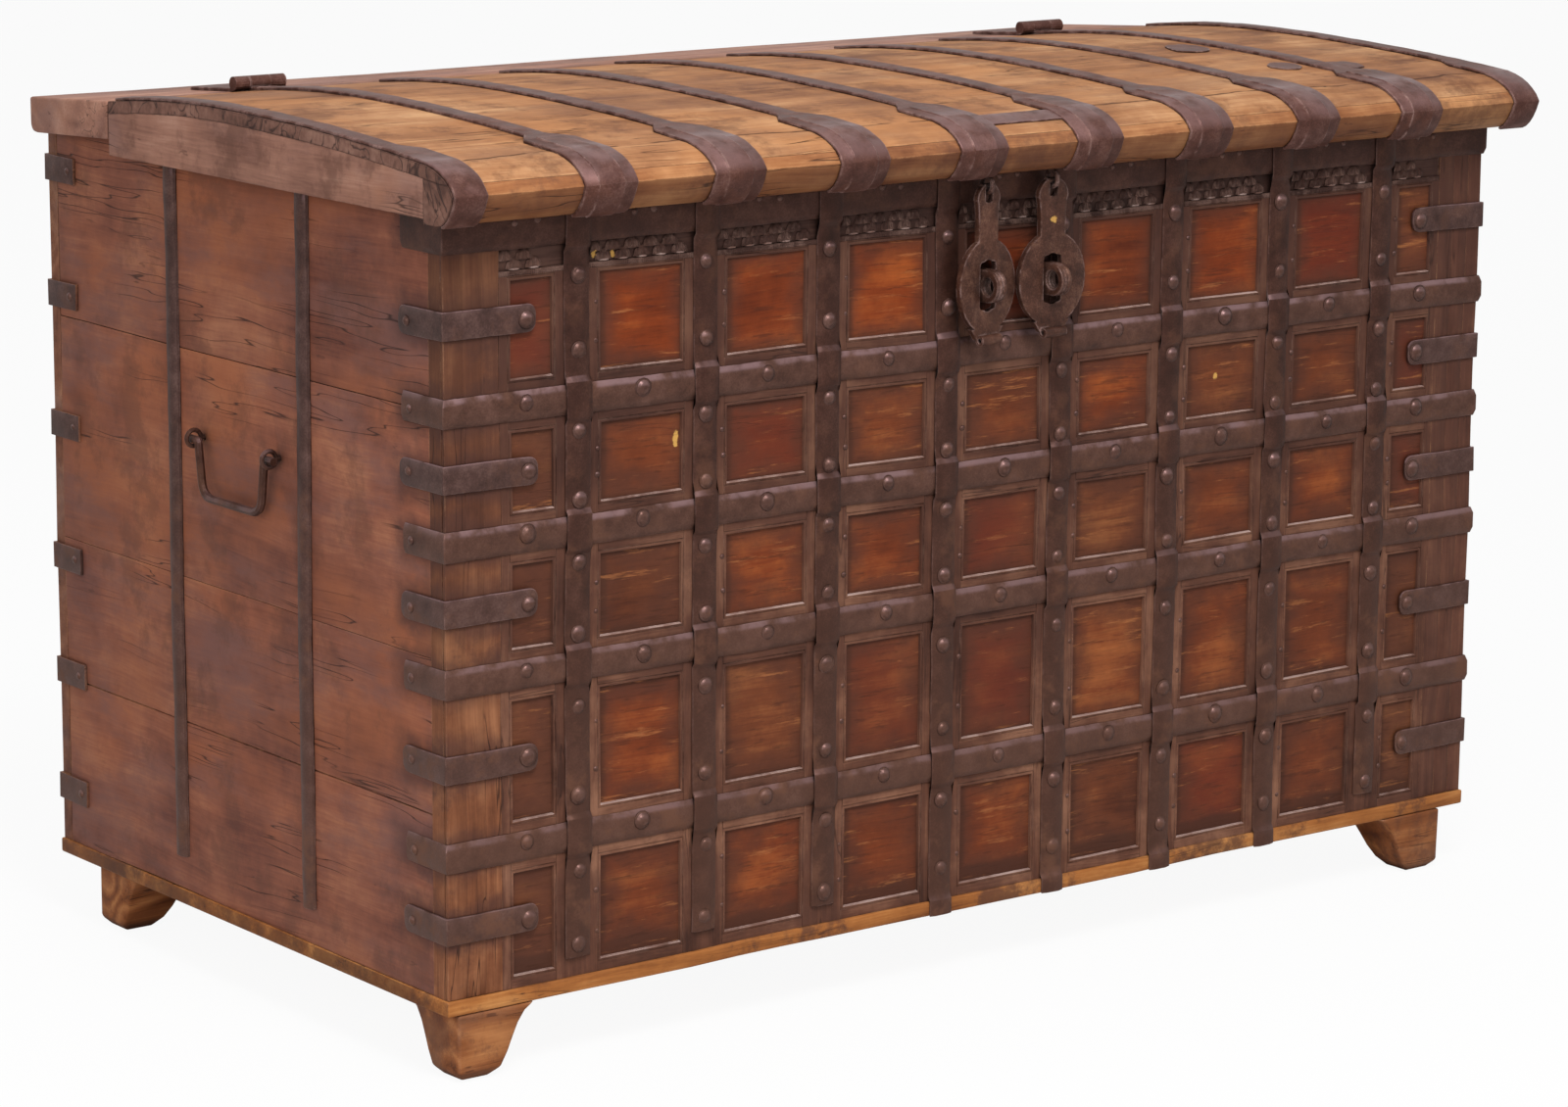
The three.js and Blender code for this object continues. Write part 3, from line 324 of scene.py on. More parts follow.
class Wire:
    """One socket of a material's node tree."""

    def __init__(self, tree, socket):
        self.tree = tree
        self.socket = socket

    def add(self, kind, settings=None, sockets=None, out=0):
        """Adds a node: first its settings, then the values or wires of its sockets."""
        node = self.tree.nodes.new("ShaderNode" + kind)
        for name, value in (settings or {}).items():
            if name == "stops":
                ends = node.color_ramp.elements
                ends[0].position, ends[0].color = value[0]
                ends[-1].position, ends[-1].color = value[-1]
                for position, colour in value[1:-1]:
                    ends.new(position).color = colour
            else:
                setattr(node, name, value)
        for name, value in (sockets or {}).items():
            if isinstance(value, Wire):
                self.tree.links.new(value.socket, node.inputs[name])
            else:
                node.inputs[name].default_value = value
        return Wire(self.tree, node.outputs[out])

    def sum(self, operation, *others, clamp=False):
        """This value and others put through a Math node."""
        values = {0: self} | {k + 1: other for k, other in enumerate(others)}
        return self.add("Math", {"operation": operation, "use_clamp": clamp}, values)

    def __add__(self, other):
        return self.sum("ADD", other)

    def __sub__(self, other):
        return self.sum("SUBTRACT", other)

    def __rsub__(self, other):
        return self.add("Math", {"operation": "SUBTRACT"}, {0: other, 1: self})

    def __mul__(self, other):
        return self.sum("MULTIPLY", other)

    def __truediv__(self, other):
        return self.sum("DIVIDE", other)

    def __abs__(self):
        return self.sum("ABSOLUTE")

    def __gt__(self, other):
        return self.sum("GREATER_THAN", other)

    def part(self, axis):
        """The x, y or z of a vector."""
        return self.add("SeparateXYZ", {}, {0: self}, out=axis)

    def scaled(self, by):
        """A vector stretched by three numbers."""
        return self.add("VectorMath", {"operation": "MULTIPLY"}, {0: self, 1: by})

    def moved(self, by):
        """A vector with another added."""
        return self.add("VectorMath", {"operation": "ADD"}, {0: self, 1: by})

    def noise(self, scale, detail=3, rough=0.55, bend=0, out=0):
        """Noise read at this vector."""
        values = {"Vector": self, "Scale": scale, "Detail": detail, "Roughness": rough, "Distortion": bend}
        return self.add("TexNoise", {}, values, out)

    def between(self, low, high):
        """A smooth 0 to 1 as the value goes from low to high."""
        values = {0: self, 1: low, 2: high}
        return self.add("MapRange", {"interpolation_type": "SMOOTHSTEP"}, values)

    def over(self, under, *colour):
        """A colour laid over another, this wire being its share."""
        return self.blend(under, paint(*colour))

    def blend(self, first, second):
        """A colour between two, this wire being the share of the second."""
        sockets = {0: self, 6: first, 7: second}
        return self.add("Mix", {"data_type": "RGBA", "clamp_factor": True}, sockets, out=2)

    def ramp(self, *stops):
        """A colour read off a ramp, whose stops are a position and a colour."""
        stops = [(position, paint(*colour)) for position, colour in stops]
        return self.add("ValToRGB", {"stops": stops}, {0: self})

    def length(self):
        """The length of a vector."""
        return self.add("VectorMath", {"operation": "LENGTH"}, {0: self}, out=1)

    def facing(self):
        """The direction that the surface here looks in."""
        return self.add("NewGeometry", out=1)

    def turned(self, radius):
        """How far the surface turns within a radius, in millimetres: nothing on a flat, most on an arris."""
        rounded = self.add("Bevel", {"samples": 4}, {"Radius": radius * MM})
        return 1 - self.add("VectorMath", {"operation": "DOT_PRODUCT"}, {0: rounded, 1: self.facing()}, out=1)

    def sheltered(self, distance):
        """1 where walls stand within a distance, in millimetres, as in a corner, and 0 in the open."""
        open_share = self.add("AmbientOcclusion", {"samples": 6}, {"Distance": distance * MM}, out=1)
        return 1 - open_share.between(0.1, 0.8)

    def measured(self, axis):
        """How far along, back or high a point lies, in the maker's millimetres."""
        return (self.part(axis) - ORIGIN[axis]) / MM

# %% Paint and shader


def paint(red, green, blue):
    """A colour as read off a picture, 0 to 255, turned to Blender's linear light."""
    linear = [((c / 255 + 0.055) / 1.055) ** 2.4 for c in (red, green, blue)]
    return (*linear, 1)


def new_finish(name):
    """An empty finish, and the wire of its object coordinates."""
    finish = bpy.data.materials.new(name)
    finish.use_nodes = True
    return finish, Wire(finish.node_tree, None).add("TexCoord", out=3)


def mix_up(finish, spot, colour, rough, relief, gloss, strength=0.7, depth=0.6, metal=0):
    """Links what was worked out for a finish to its shader. The relief's depth is in millimetres."""
    bump = spot.add("Bump", {}, {"Strength": strength, "Distance": depth * MM, "Height": relief})
    inputs = finish.node_tree.nodes["Principled BSDF"].inputs
    for name, value in (("Base Color", colour), ("Roughness", rough), ("Normal", bump),
                        ("Specular IOR Level", gloss), ("Metallic", metal)):
        if isinstance(value, Wire):
            value.tree.links.new(value.socket, inputs[name])
        else:
            inputs[name].default_value = value
    return finish


# %% [markdown]
# Old timber shows several things at once: broad streaks along the grain, fine fibres, the arched figure where
# a board was sawn through its growth rings, stains, short open checks and pale wear on the arrises. Each is
# one noise stretched along the grain, and the finish adds them up, with painted shade in the corners.

# %% Layers of wood


def stretch(grain, along, across):
    """Scale factors that pull a pattern out along the grain, which is x, y or z."""
    return [along if axis == grain else across for axis in "xyz"]


def wood_layers(spot, grain, dark, middle, light, figure, blotch, check, streaky):
    """The colour and the relief of sawn wood at a point, with its stain, fibre and cracks."""
    swirl = spot.add("VectorMath", {"operation": "SCALE"}, {0: spot.noise(3.1, 2, out=1), 3: 0.03})
    bent = spot.moved(swirl)
    streak = bent.scaled(stretch(grain, 2, 34)).noise(1, 7, 0.66)
    fibre = bent.scaled(stretch(grain, 14, 420)).noise(1, 3, 0.6)
    rings = (bent.scaled(stretch(grain, 1.1, 7)).noise(1, 2, 0.5) * 22).sum("PINGPONG", 1)
    stain = spot.noise(6.5, 6, 0.66)
    tone = (streak - 0.5) * streaky * (1 - figure) + (rings - 0.5) * figure + 0.5
    tone = tone + (fibre - 0.5) * 0.3 + (stain - 0.5) * blotch
    colour = tone.ramp((0.26, dark), (0.5, middle), (0.74, light))
    line = abs(bent.scaled(stretch(grain, 3, 60)).noise(1, 2, 0.5) - 0.5)
    open_here = bent.scaled(stretch(grain, 3, 12)).noise(1.3, 1).between(0.52, 0.6)
    crack = (1 - line.between(0, 0.012)) * open_here * check
    relief = fibre * 0.35 + streak * 0.4 - crack * 1.2
    return colour, relief, stain, fibre, crack

# %% Flecks of paint
YELLOW = (206, 158, 84)


def flecked(spot, colour, flecks, tone=YELLOW, ragged=2.4):
    """Splashes of a colour; each is given by along, high, half its width and half its height."""
    for along, high, wide, tall in flecks:
        away = spot.moved(-place(along, 0, high)).scaled((1 / (wide * MM), 0, 1 / (tall * MM)))
        splash = 1 - (away.length() + (spot.noise(160, 5, 0.7) - 0.5) * ragged).between(0.6, 0.9)
        colour = (splash * 0.85).over(colour, *tone)
    return colour

# %% Timber


def timber(
    name, grain, dark, middle, light, figure=0.12, blotch=0.7, check=0.6, painted_corner_shade=0.7, wear=0.35,
    pale=(190, 140, 100), grey=0, offset=(0, 0, 0), rough=0.62, gloss=0.12, streaky=0.7, warm=None,
    dull=(118, 94, 86), top_darkening=0, spill=0, seam=None, arris=3.5, ties=(), flecks=(), shade=0,
    painted_side_shade=0
):
    """A finish of old wood. The offset reads another part of the same noise, so that boards differ."""
    finish, here = new_finish(name)
    spot = here.moved(offset)
    colour, relief, stain, fibre, crack = wood_layers(
        spot, grain, dark, middle, light, figure, blotch, check, streaky
    )
    if warm:
        glow = spot.scaled(stretch(grain, 0.8, 1.2)).noise(5, 4, 0.6).between(0.45, 0.7) * 0.6
        colour = glow.over(colour, *warm)
    if grey:
        weather = spot.scaled(stretch(grain, 3, 9)).noise(1.2, 6, 0.7).between(0.46, 0.7) * grey
        colour = weather.over(colour, *dull)
    if spill:
        blot = spot.noise(9, 9, 0.74).between(0.5, 0.62) * spill
        colour = blot.over(colour, 84, 54, 44)
        nick = spot.scaled(stretch(grain, 18, 60)).noise(1, 3, 0.7).between(0.68, 0.73) * spill
        colour = nick.over(colour, 66, 40, 32)
    if seam is not None:
        back = here.measured(1) + (spot.noise(2.6, 5, 0.6) - 0.5) * 90
        gap = (1 - abs(back - seam).between(0.8, 3.2)) * spot.noise(14, 3).between(0.36, 0.46)
        colour = (gap * 0.85).over(colour, 58, 34, 24)
    if ties:
        high = here.measured(2) + (spot.noise(16, 5, 0.65) - 0.5) * 50
        back = here.measured(1) + (spot.noise(13, 5, 0.65) - 0.5) * 70
        level = abs(high - ties[0])
        for mark in ties[1:]:
            level = level.sum("MINIMUM", abs(high - mark))
        halo = (1 - level.between(14, 36)) * (1 - back.between(66, 104))
        colour = (halo * 0.6).over(colour, 66, 44, 42)
    # Darker towards the top of the box.
    if top_darkening:
        rise = (here.measured(2) + (stain - 0.5) * 300).between(100, 760) * top_darkening
        colour = rise.over(colour, 60, 38, 33)
    # Painted shade in corners and hollows, where walls stand within 18 mm.
    colour = (spot.sheltered(18) * painted_corner_shade).over(colour, 38, 24, 20)
    # Painted shade on faces that look forward or down.
    if shade:
        upright = 1 - spot.facing().part(2).between(0.1, 0.6)
        colour = (upright * shade).over(colour, 72, 38, 24)
    # Painted shade on faces that look sideways, in noisy patches.
    if painted_side_shade:
        sideways = abs(spot.facing().part(0)).between(0.5, 0.8)
        side_shade_patches = sideways * spot.noise(16, 6, 0.7).between(0.28, 0.56) * painted_side_shade
        colour = side_shade_patches.over(colour, 84, 52, 36)
    rub = spot.turned(arris).between(0.01, 0.12) * spot.noise(34, 4, 0.7).between(0.42, 0.62) * wear
    colour = rub.over(colour, *pale)
    colour = (crack * 0.8).over(colour, 38, 24, 20)
    colour = flecked(here, colour, flecks)
    rough = (stain - 0.5) * 0.25 + (fibre - 0.5) * 0.2 + rough
    return mix_up(finish, spot, colour, rough, relief, gloss)


# %% [markdown]
# The straps are wrought iron gone brown: a dark warm skin with a lilac sheen on the arrises, partly where
# hands and cloth polish it and partly painted highlight, dull rust where they don't, flats left by the hammer
# and small pits. Faces that look up get a lilac painted highlight, and corners get painted shade. The skin
# mirrors in its own brown, so Metallic is highest where it is clean and drops where rust or dirt lies on it.

# %% Iron


def iron(
    name, dark, middle, sheen, rust=(104, 66, 46), hammer=60, depth=0.9, gloss=0.48, metal=0.5,
    rub=0.3, painted_sky_sheen=0.4, dirt_and_shade_share=0.8, arris=1.8, deep=12, flecks=(), shine=0.25, crest=0
):
    """A finish of old hammered iron."""
    finish, spot = new_finish(name)
    mottle = spot.noise(38, 6, 0.7)
    flat = spot.noise(hammer, 2, 0.5)
    pit = spot.noise(520, 3, 0.6)
    tone = mottle * 0.5 + flat * 0.2 + pit * 0.3
    colour = tone.ramp((0.34, dark), (0.5, middle), (0.68, sheen))
    low_down = 1 - spot.measured(2).between(60, 640)
    patch = spot.noise(22, 5, 0.7).between(0.5, 0.66) * (low_down * 0.4 + 0.25)
    colour = patch.over(colour, *rust)
    colour = (low_down * 0.35).over(colour, 98, 66, 52)
    rise = spot.facing().part(2)
    # A lilac painted highlight on faces that look up, weaker low down.
    painted_top_sheen = rise.between(0.12, 0.4) * spot.noise(30, 4, 0.6).between(0.34, 0.6)
    colour = (painted_top_sheen * (1 - low_down * 0.5) * painted_sky_sheen).over(colour, 136, 108, 110)
    # Near the nose, faces that look up get a lilac painted sheen; the same mask makes the iron there more
    # metallic and glossier, as polished by hands.
    if crest:
        fore = 1 - spot.measured(1).between(-14, 30)
        polish_and_painted_sheen = fore * rise.between(0.2, 0.7) * spot.noise(24, 4, 0.6).between(0.3, 0.6) * crest
        colour = polish_and_painted_sheen.over(colour, 124, 94, 92)
        metal = polish_and_painted_sheen * 0.5 + metal
        gloss = gloss - polish_and_painted_sheen * 0.2
    # Painted shade in corners and hollows; the same mask lowers Metallic and raises Roughness, as dirt.
    corner_shade_and_dirt = spot.sheltered(deep) * dirt_and_shade_share
    colour = corner_shade_and_dirt.over(colour, 28, 18, 16)
    # Lighter arrises: partly polish, partly painted highlight.
    polish_and_highlight = spot.turned(arris).between(0.01, 0.1) * spot.noise(60, 3, 0.7).between(0.4, 0.62) * rub
    colour = polish_and_highlight.over(colour, 148, 120, 114)
    colour = flecked(spot, colour, flecks)
    metal = (1 - patch * 0.8) * (1 - corner_shade_and_dirt) * metal
    rough = patch * 0.25 + corner_shade_and_dirt * 0.2 + (mottle - 0.5) * 0.3 + gloss
    return mix_up(finish, spot, colour, rough, flat * 0.7 + pit * 0.2, shine, 0.6, depth, metal)

# %% Irons of the chest
strap_iron = iron("strap_iron", (45, 26, 20), (64, 38, 30), (88, 58, 48), painted_sky_sheen=0.3)
cross_iron = iron("cross_strap_iron", (62, 39, 32), (84, 56, 46), (108, 76, 66), painted_sky_sheen=0.7)
tie_iron = iron("tie_iron", (54, 36, 32), (77, 54, 49), (106, 80, 74), painted_sky_sheen=0.85, rub=0.5)
lid_iron = iron(
    "lid_strap_iron", (58, 35, 30), (82, 53, 46), (116, 84, 77), rust=(96, 58, 42), rub=1, painted_sky_sheen=0,
    metal=0.15, gloss=0.5, arris=3, shine=0.08, crest=0.55
)
hasp_iron = iron(
    "hasp_iron", (43, 25, 19), (74, 46, 36), (114, 80, 65), hammer=130, depth=1, rub=1, painted_sky_sheen=0,
    metal=0.4, rust=(98, 62, 46), arris=3.2, deep=24, dirt_and_shade_share=1, flecks=((746.7, 718.5, 5, 4),)
)
rivet_iron = iron(
    "rivet_iron", (62, 40, 34), (84, 57, 49), (112, 82, 73), hammer=150, rub=0.15, painted_sky_sheen=0.35, dirt_and_shade_share=0.4,
    gloss=0.38
)
seat_iron = iron("rivet_seat_iron", (50, 31, 26), (68, 44, 37), (92, 63, 54), rub=0.1, painted_sky_sheen=0, dirt_and_shade_share=0.4)

# %% [markdown]
# Every board of the chest is a line of numbers for the one timber function: three tones, and how much dirt,
# wear or weather lies on them, how much painted shade lies in their corners and how much darker they grow
# towards the top. The ends turn paler where the light has bleached them, and darker round the iron, which the
# finish finds from the heights of the straps.

# %% Timbers of the chest
FRONT_TIE_SHARES = (0.09, 0.295, 0.491, 0.656, 0.846)
REAR_TIE_SHARES = (0.0756, 0.242, 0.403, 0.588, 0.767, 0.938)
BAND_RIVETS = BAND_LOW + 26
TIE_LEVELS = (*CROSSES, *[share * HEIGHT for share in FRONT_TIE_SHARES], BAND_RIVETS)
base_wood = timber(
    "base_wood", "x", (104, 58, 30), (160, 100, 52), (196, 138, 82), painted_corner_shade=0.5, wear=0.7, spill=0.8,
    gloss=0.1, painted_side_shade=0.75
)
foot_wood = timber(
    "foot_wood", "x", (88, 48, 28), (134, 80, 46), (174, 116, 72), painted_corner_shade=0.5, wear=0.9,
    pale=(190, 148, 120), spill=0.6, check=1, gloss=0.1, figure=0.3, grey=0.4, dull=(150, 112, 88)
)
side_wood = [
    timber(
        f"side_wood_{k}", "y", (95, 54, 44), (131, 80, 62), (162, 107, 80), figure=0.05, grey=0.75,
        offset=(0.3 * k, 0.7 * k, 0.13 * k), check=1, blotch=1, streaky=0.6, warm=(152, 88, 56),
        dull=(112, 78, 72), spill=0.4, painted_corner_shade=0.9, ties=TIE_LEVELS
    )
    for k in (1, 2, 3)
]
rear_wood = timber(
    "rear_wood", "x", (80, 48, 38), (116, 74, 56), (148, 104, 80), grey=0.6, painted_corner_shade=0.5, spill=0.3
)
# Here the arris colour is dark: it draws dark joint lines round the boards, partly as painted shade along
# their edges.
gable_wood, rail_wood = [
    timber(
        name, grain, (110, 74, 62), (152, 109, 92), (186, 144, 124), grey=0.5, check=1, wear=0.8,
        streaky=0.5, warm=(160, 106, 76), dull=(128, 98, 92), spill=0.5, pale=(62, 40, 32), arris=2.4
    )
    for name, grain in (("gable_wood", "y"), ("rail_wood", "x"))
]
lid_wood = timber(
    "lid_wood", "x", (108, 69, 48), (158, 111, 77), (194, 149, 109), figure=0.04, blotch=1, wear=0.4,
    pale=(206, 158, 114), check=1, offset=(0.4, 0.1, 0.2), rough=0.6, streaky=0.7, warm=(178, 122, 78),
    grey=0.6, dull=(126, 90, 70), gloss=0.02, spill=0.5, seam=-4
)
nose_wood = timber(
    "nose_wood", "x", (92, 52, 34), (146, 96, 62), (188, 136, 92), wear=0.8, blotch=1.1,
    pale=(204, 148, 102), check=1, rough=0.5, streaky=0.8, warm=(142, 86, 48), spill=0.5, gloss=0.1,
    shade=0.5
)

# %% End grain
BOARD_HEART = place(0, -18, 770)


def end_grain():
    """The sawn ends of the lid's boards: growth rings round the board's heart, dusty and cracked."""
    finish, spot = new_finish("end_grain")
    away = spot.moved(-BOARD_HEART).scaled((0, 1, 1)).length()
    ring = ((away + (spot.noise(30, 3) - 0.5) * 0.02) * 260).sum("PINGPONG", 1)
    tone = ring * 0.03 + spot.noise(60, 6, 0.7) * 0.5 + spot.noise(7, 5, 0.7) * 0.5
    colour = tone.ramp((0.4, (78, 52, 44)), (0.52, (112, 78, 66)), (0.64, (138, 102, 88)))
    crack = 1 - abs(spot.noise(19, 3, 0.5, 1.4) - 0.5).between(0, 0.024)
    colour = (crack * 0.8).over(colour, 44, 28, 24)
    # Dark lines along the arrises: dark joints, partly painted shade.
    colour = (spot.turned(2.4).between(0.01, 0.12) * 0.8).over(colour, 54, 34, 28)
    # Painted shade in corners.
    colour = (spot.sheltered(8) * 0.7).over(colour, 36, 24, 20)
    return mix_up(finish, spot, colour, tone * 0.1 + 0.7, tone - crack, 0.2)


board_ends = end_grain()
print("finishes:", len(bpy.data.materials))

# %% [markdown]
# Every field of the front has its own board, bright in the middle where the old varnish is left and dark
# towards its frame. The finish works out which field a point is in from the pitch of the uprights and the
# heights of the cross straps, gives each field its own tone from that number, and darkens it by the distance
# to the nearest strap. The dark edge reaches a little further in on a field's left side, as painted shade
# from the frame; the corners get painted shade, and a painted shadow lies round each lock staple.

# %% Measures of the front
FILLET_WIDE = 14
FILLET_HIGH = 12
STILE = 65
FRIEZE_LOW = BAND_LOW - 31
BOTTOM_RAIL = 14
STAPLES = [reach("lock_staple_left"), reach("lock_staple_right")]
print("frieze from", round(FRIEZE_LOW, 1), "staples at", [round(low.x) for low, high in STAPLES])

# %% Which field a point is in


def cell_of(spot):
    """The column, the row and the distance to the field's edge, in millimetres, at a point of the front."""
    high = spot.measured(2)
    steps = (spot.measured(0) - UPRIGHTS[0]) / PITCH
    column = steps.sum("FLOOR")
    inside = steps.sum("FRACT")
    # The last term moves the dark edge further in on a field's left side, as painted shade from the frame.
    side_gap = (0.5 - abs(inside - 0.5)) * PITCH - STRAP / 2 - FILLET_WIDE + (inside - 0.5) * 12
    row = None
    level_gap = None
    for mark in (0, *CROSSES, FRIEZE_LOW + STRAP / 2 + FILLET_HIGH):
        above = high > mark
        row = above if row is None else row + above
        gap = abs(high - mark) - STRAP / 2 - FILLET_HIGH
        level_gap = gap if level_gap is None else level_gap.sum("MINIMUM", gap)
    return column, row, side_gap.sum("MINIMUM", level_gap + 2), high

# %% Field wood


def field_wood(name):
    """Varnished boards that fill the windows of the front."""
    finish, spot = new_finish(name)
    column, row, edge, high = cell_of(spot)
    number = column * 7.13 + row * 3.71
    chance = number.add("TexWhiteNoise", {"noise_dimensions": "1D"}, {"W": number}, out=0)
    second = number.add("TexWhiteNoise", {"noise_dimensions": "1D"}, {"W": number + 5.5}, out=0)
    shift = number.add("CombineXYZ", {}, {0: chance * 3, 1: second * 2, 2: chance * 5})
    spot_here = spot.moved(shift)
    pattern = (0.1, 0.9, 0.4, 0.5)
    colour, relief, stain, fibre, crack = wood_layers(
        spot_here, "x", (80, 31, 13), (118, 51, 21), (160, 82, 36), *pattern
    )
    brown = wood_layers(spot_here, "x", (74, 37, 22), (106, 58, 34), (148, 92, 54), *pattern)[0]
    upper = high.between(560, 640)
    beside = column.sum("LESS_THAN", -0.5) + (column > 6.5)
    dull = (chance * 0.8 + 0.2 - upper * 0.55).sum("MAXIMUM", beside * (1 - upper * 0.4))
    colour = dull.blend(colour, brown)
    colour = (beside * 0.45).over(colour, 84, 50, 38)
    colour = (second.between(0.8, 0.86) * 0.6).over(colour, 92, 36, 26)
    cloud_here = spot_here.scaled((15, 15, 22)).noise(1, 6, 0.66)
    ragged = edge + (cloud_here - 0.5) * (90 - upper * 40)
    rim = 1 - ragged.between(-8, 42 - upper * 12)
    colour = (rim * 0.82).over(colour, 78, 46, 35)
    close = 1 - (edge + (stain - 0.5) * 16).between(0, 7)
    colour = (close * 0.5).over(colour, 62, 38, 29)
    scuff = spot_here.scaled((11, 11, 110)).noise(1, 7, 0.72).between(0.57, 0.7) * 0.5
    colour = scuff.over(colour, 176, 112, 66)
    colour = (fibre.between(0.52, 0.7) * 0.3).over(colour, 60, 30, 18)
    scratch = spot_here.scaled((20, 20, 200)).noise(1, 4, 0.7).between(0.56, 0.66) * 0.45
    colour = scratch.over(colour, 56, 30, 20)
    colour = flecked(spot, colour, ((277.1, 533.4, 3.6, 10), (1004.1, 524.7, 4, 4)))
    # A painted shadow round each lock staple, where the hasp hangs in front of the field.
    painted_staple_shadows = [((at[0].x + at[1].x) / 2, (at[0].z + at[1].z) / 2, 42, 44) for at in STAPLES]
    colour = flecked(spot, colour, painted_staple_shadows, (30, 18, 14), 0.5)
    # Painted shade in the field's corners and along its walls.
    colour = (spot.sheltered(12) * 0.7).over(colour, 34, 20, 15)
    colour = (crack * 0.7).over(colour, 40, 22, 16)
    rough = rim * 0.25 + (stain - 0.5) * 0.2 + 0.45
    return mix_up(finish, spot, colour, rough, relief, 0.12, 0.6, 0.5)

# %% Timbers of the front
front_wood = field_wood("field_wood")
fillet_flat, fillet_upright = [
    timber(
        name, grain, (60, 36, 28), (96, 61, 47), (136, 95, 74), painted_corner_shade=0.6, wear=0.25,
        pale=(150, 116, 100), check=0.7, top_darkening=0.6, blotch=1.2, spill=0.5, arris=1.2
    )
    for name, grain in (("fillet_wood_flat", "x"), ("fillet_wood_upright", "z"))
]
# A pale wood for painted highlights: the upward faces of the fields' bottom beads and the lips under the
# frieze's scales.
pale_highlight_wood = timber(
    "pale_highlight_wood", "x", (84, 58, 50), (128, 98, 88), (172, 146, 138), painted_corner_shade=0.4, wear=0.9,
    pale=(184, 160, 152), check=0.2, blotch=1.2
)
stile_wood = timber(
    "stile_wood", "z", (76, 44, 30), (118, 72, 48), (156, 104, 72), painted_corner_shade=0.8, wear=0.4, streaky=0.4,
    pale=(166, 126, 98), check=1, blotch=1.1, top_darkening=0.6, spill=0.6, arris=2, gloss=0.1,
    ties=TIE_LEVELS
)
right_stile_wood = timber(
    "right_stile_wood", "z", (66, 40, 32), (94, 60, 48), (126, 86, 66), painted_corner_shade=0.8, wear=0.4, streaky=0.4,
    check=0.8, blotch=0.9, top_darkening=0.4, spill=0.5, arris=2, gloss=0.1
)
frieze_wood = timber(
    "frieze_wood", "x", (42, 27, 23), (66, 44, 38), (98, 70, 60), painted_corner_shade=0.9, wear=0.8,
    pale=(126, 98, 88), check=0.3, flecks=((178, 726.3, 3, 5), (200.2, 725.4, 3, 5))
)
print("finishes with the front's:", len(bpy.data.materials))

# %% [markdown]
# A field is a frame of thin fillets round a sunk board, with a small bead along the inner edge. It could be
# built from four mouldings and a board; here one block is scored where the joints are, so the uprights of the
# frame run through and the rails fit between them, and the window is then sunk by a chain of insets: groove,
# bead, wall, board. One field of each row is modelled, and the other columns are copies of it.

# %% Scored joints
LIP = 3.8
SCORE = 0.4
FACE = 0
BOARD_FACE = 4.25


def score(axis, mark, test=lambda at: True):
    """Cuts a fine V groove across the front at a mark, where a test allows it."""
    slice_at(axis, mark - SCORE, mark, mark + SCORE)
    bpy.ops.mesh.select_mode(type="VERT")
    pick(lambda at, n: abs(at[axis] - mark) < SCORE / 4 and at.y < FACE + SCORE / 4 and test(at), "verts")
    bpy.ops.transform.translate(value=(0, 2 * SCORE * MM, 0))
    bpy.ops.mesh.select_mode(type="FACE")
    bpy.ops.mesh.select_all(action="DESELECT")

# %% One field


def field(name, outer, window):
    """A framed field. Both arguments are left, right, low and high, in millimetres."""
    piece = block(name, (outer[0], FACE, outer[2]), (outer[1], BOARD_FACE, outer[3]))
    left, right, low, high = window[0] - LIP, window[1] + LIP, window[2] - LIP, window[3] + LIP
    edit(piece)
    score(0, left)
    score(0, right)
    for mark in (low, high):
        score(2, mark, lambda at: left < at.x < right)
    inner = (left + SCORE, right - SCORE, low + SCORE, high - SCORE)

    def in_window(at, facing):
        return facing.y < -0.9 and inner[0] < at.x < inner[1] and inner[2] < at.z < inner[3]

    pick(in_window)
    for thickness, depth in ((0.4, -0.4), (0.5, 0.5), (1, 0.2), (0.8, -0.3), (0.7, -2.6)):
        bpy.ops.mesh.inset(thickness=thickness * MM, depth=depth * MM)
    done()
    coat(piece, fillet_flat, fillet_upright, front_wood, pale_highlight_wood)
    for face in piece.data.polygons:
        at = (face.center - ORIGIN) / MM
        upright = at.x < left or at.x > right or (abs(face.normal.x) > 0.3 and at.y < 3)
        sunk = at.y > 2 and face.normal.y < -0.9 and low < at.z < high and left < at.x < right
        # Upward faces of the bottom bead take the pale wood, as a painted highlight.
        bead = low + 0.8 < at.z < low + LIP and face.normal.z > 0.2 and at.y < 2
        face.material_index = 3 if bead else 2 if sunk else int(upright)
    return piece

# %% All the fields
row_lows = [BOTTOM_RAIL] + [z + STRAP / 2 + FILLET_HIGH for z in CROSSES]
row_highs = [z - STRAP / 2 - FILLET_HIGH for z in CROSSES] + [FRIEZE_LOW]
outer_lows = [0.3] + CROSSES
RAIL_FOOT = FRIEZE_LOW + LIP + 1
outer_highs = CROSSES + [RAIL_FOOT]
AT_STRAP = STRAP / 2 + FILLET_WIDE
fields = []
for row in range(5):
    for name, left, right, left_margin, right_margin in (
        ("1", UPRIGHTS[0], UPRIGHTS[1], AT_STRAP, AT_STRAP),
        ("left", STILE, UPRIGHTS[0], FILLET_WIDE, AT_STRAP),
        ("right", UPRIGHTS[7], WIDTH - STILE, AT_STRAP, FILLET_WIDE),
    ):
        outer = (left, right, outer_lows[row], outer_highs[row])
        window = (left + left_margin, right - right_margin, row_lows[row], row_highs[row])
        model = field(f"field_{row}_{name}", outer, window)
        fields.append(model)
        if name == "1":
            fields += [shifted(model, f"field_{row}_{k + 1}", k * PITCH) for k in range(1, 7)]
tell("fields:", fields)

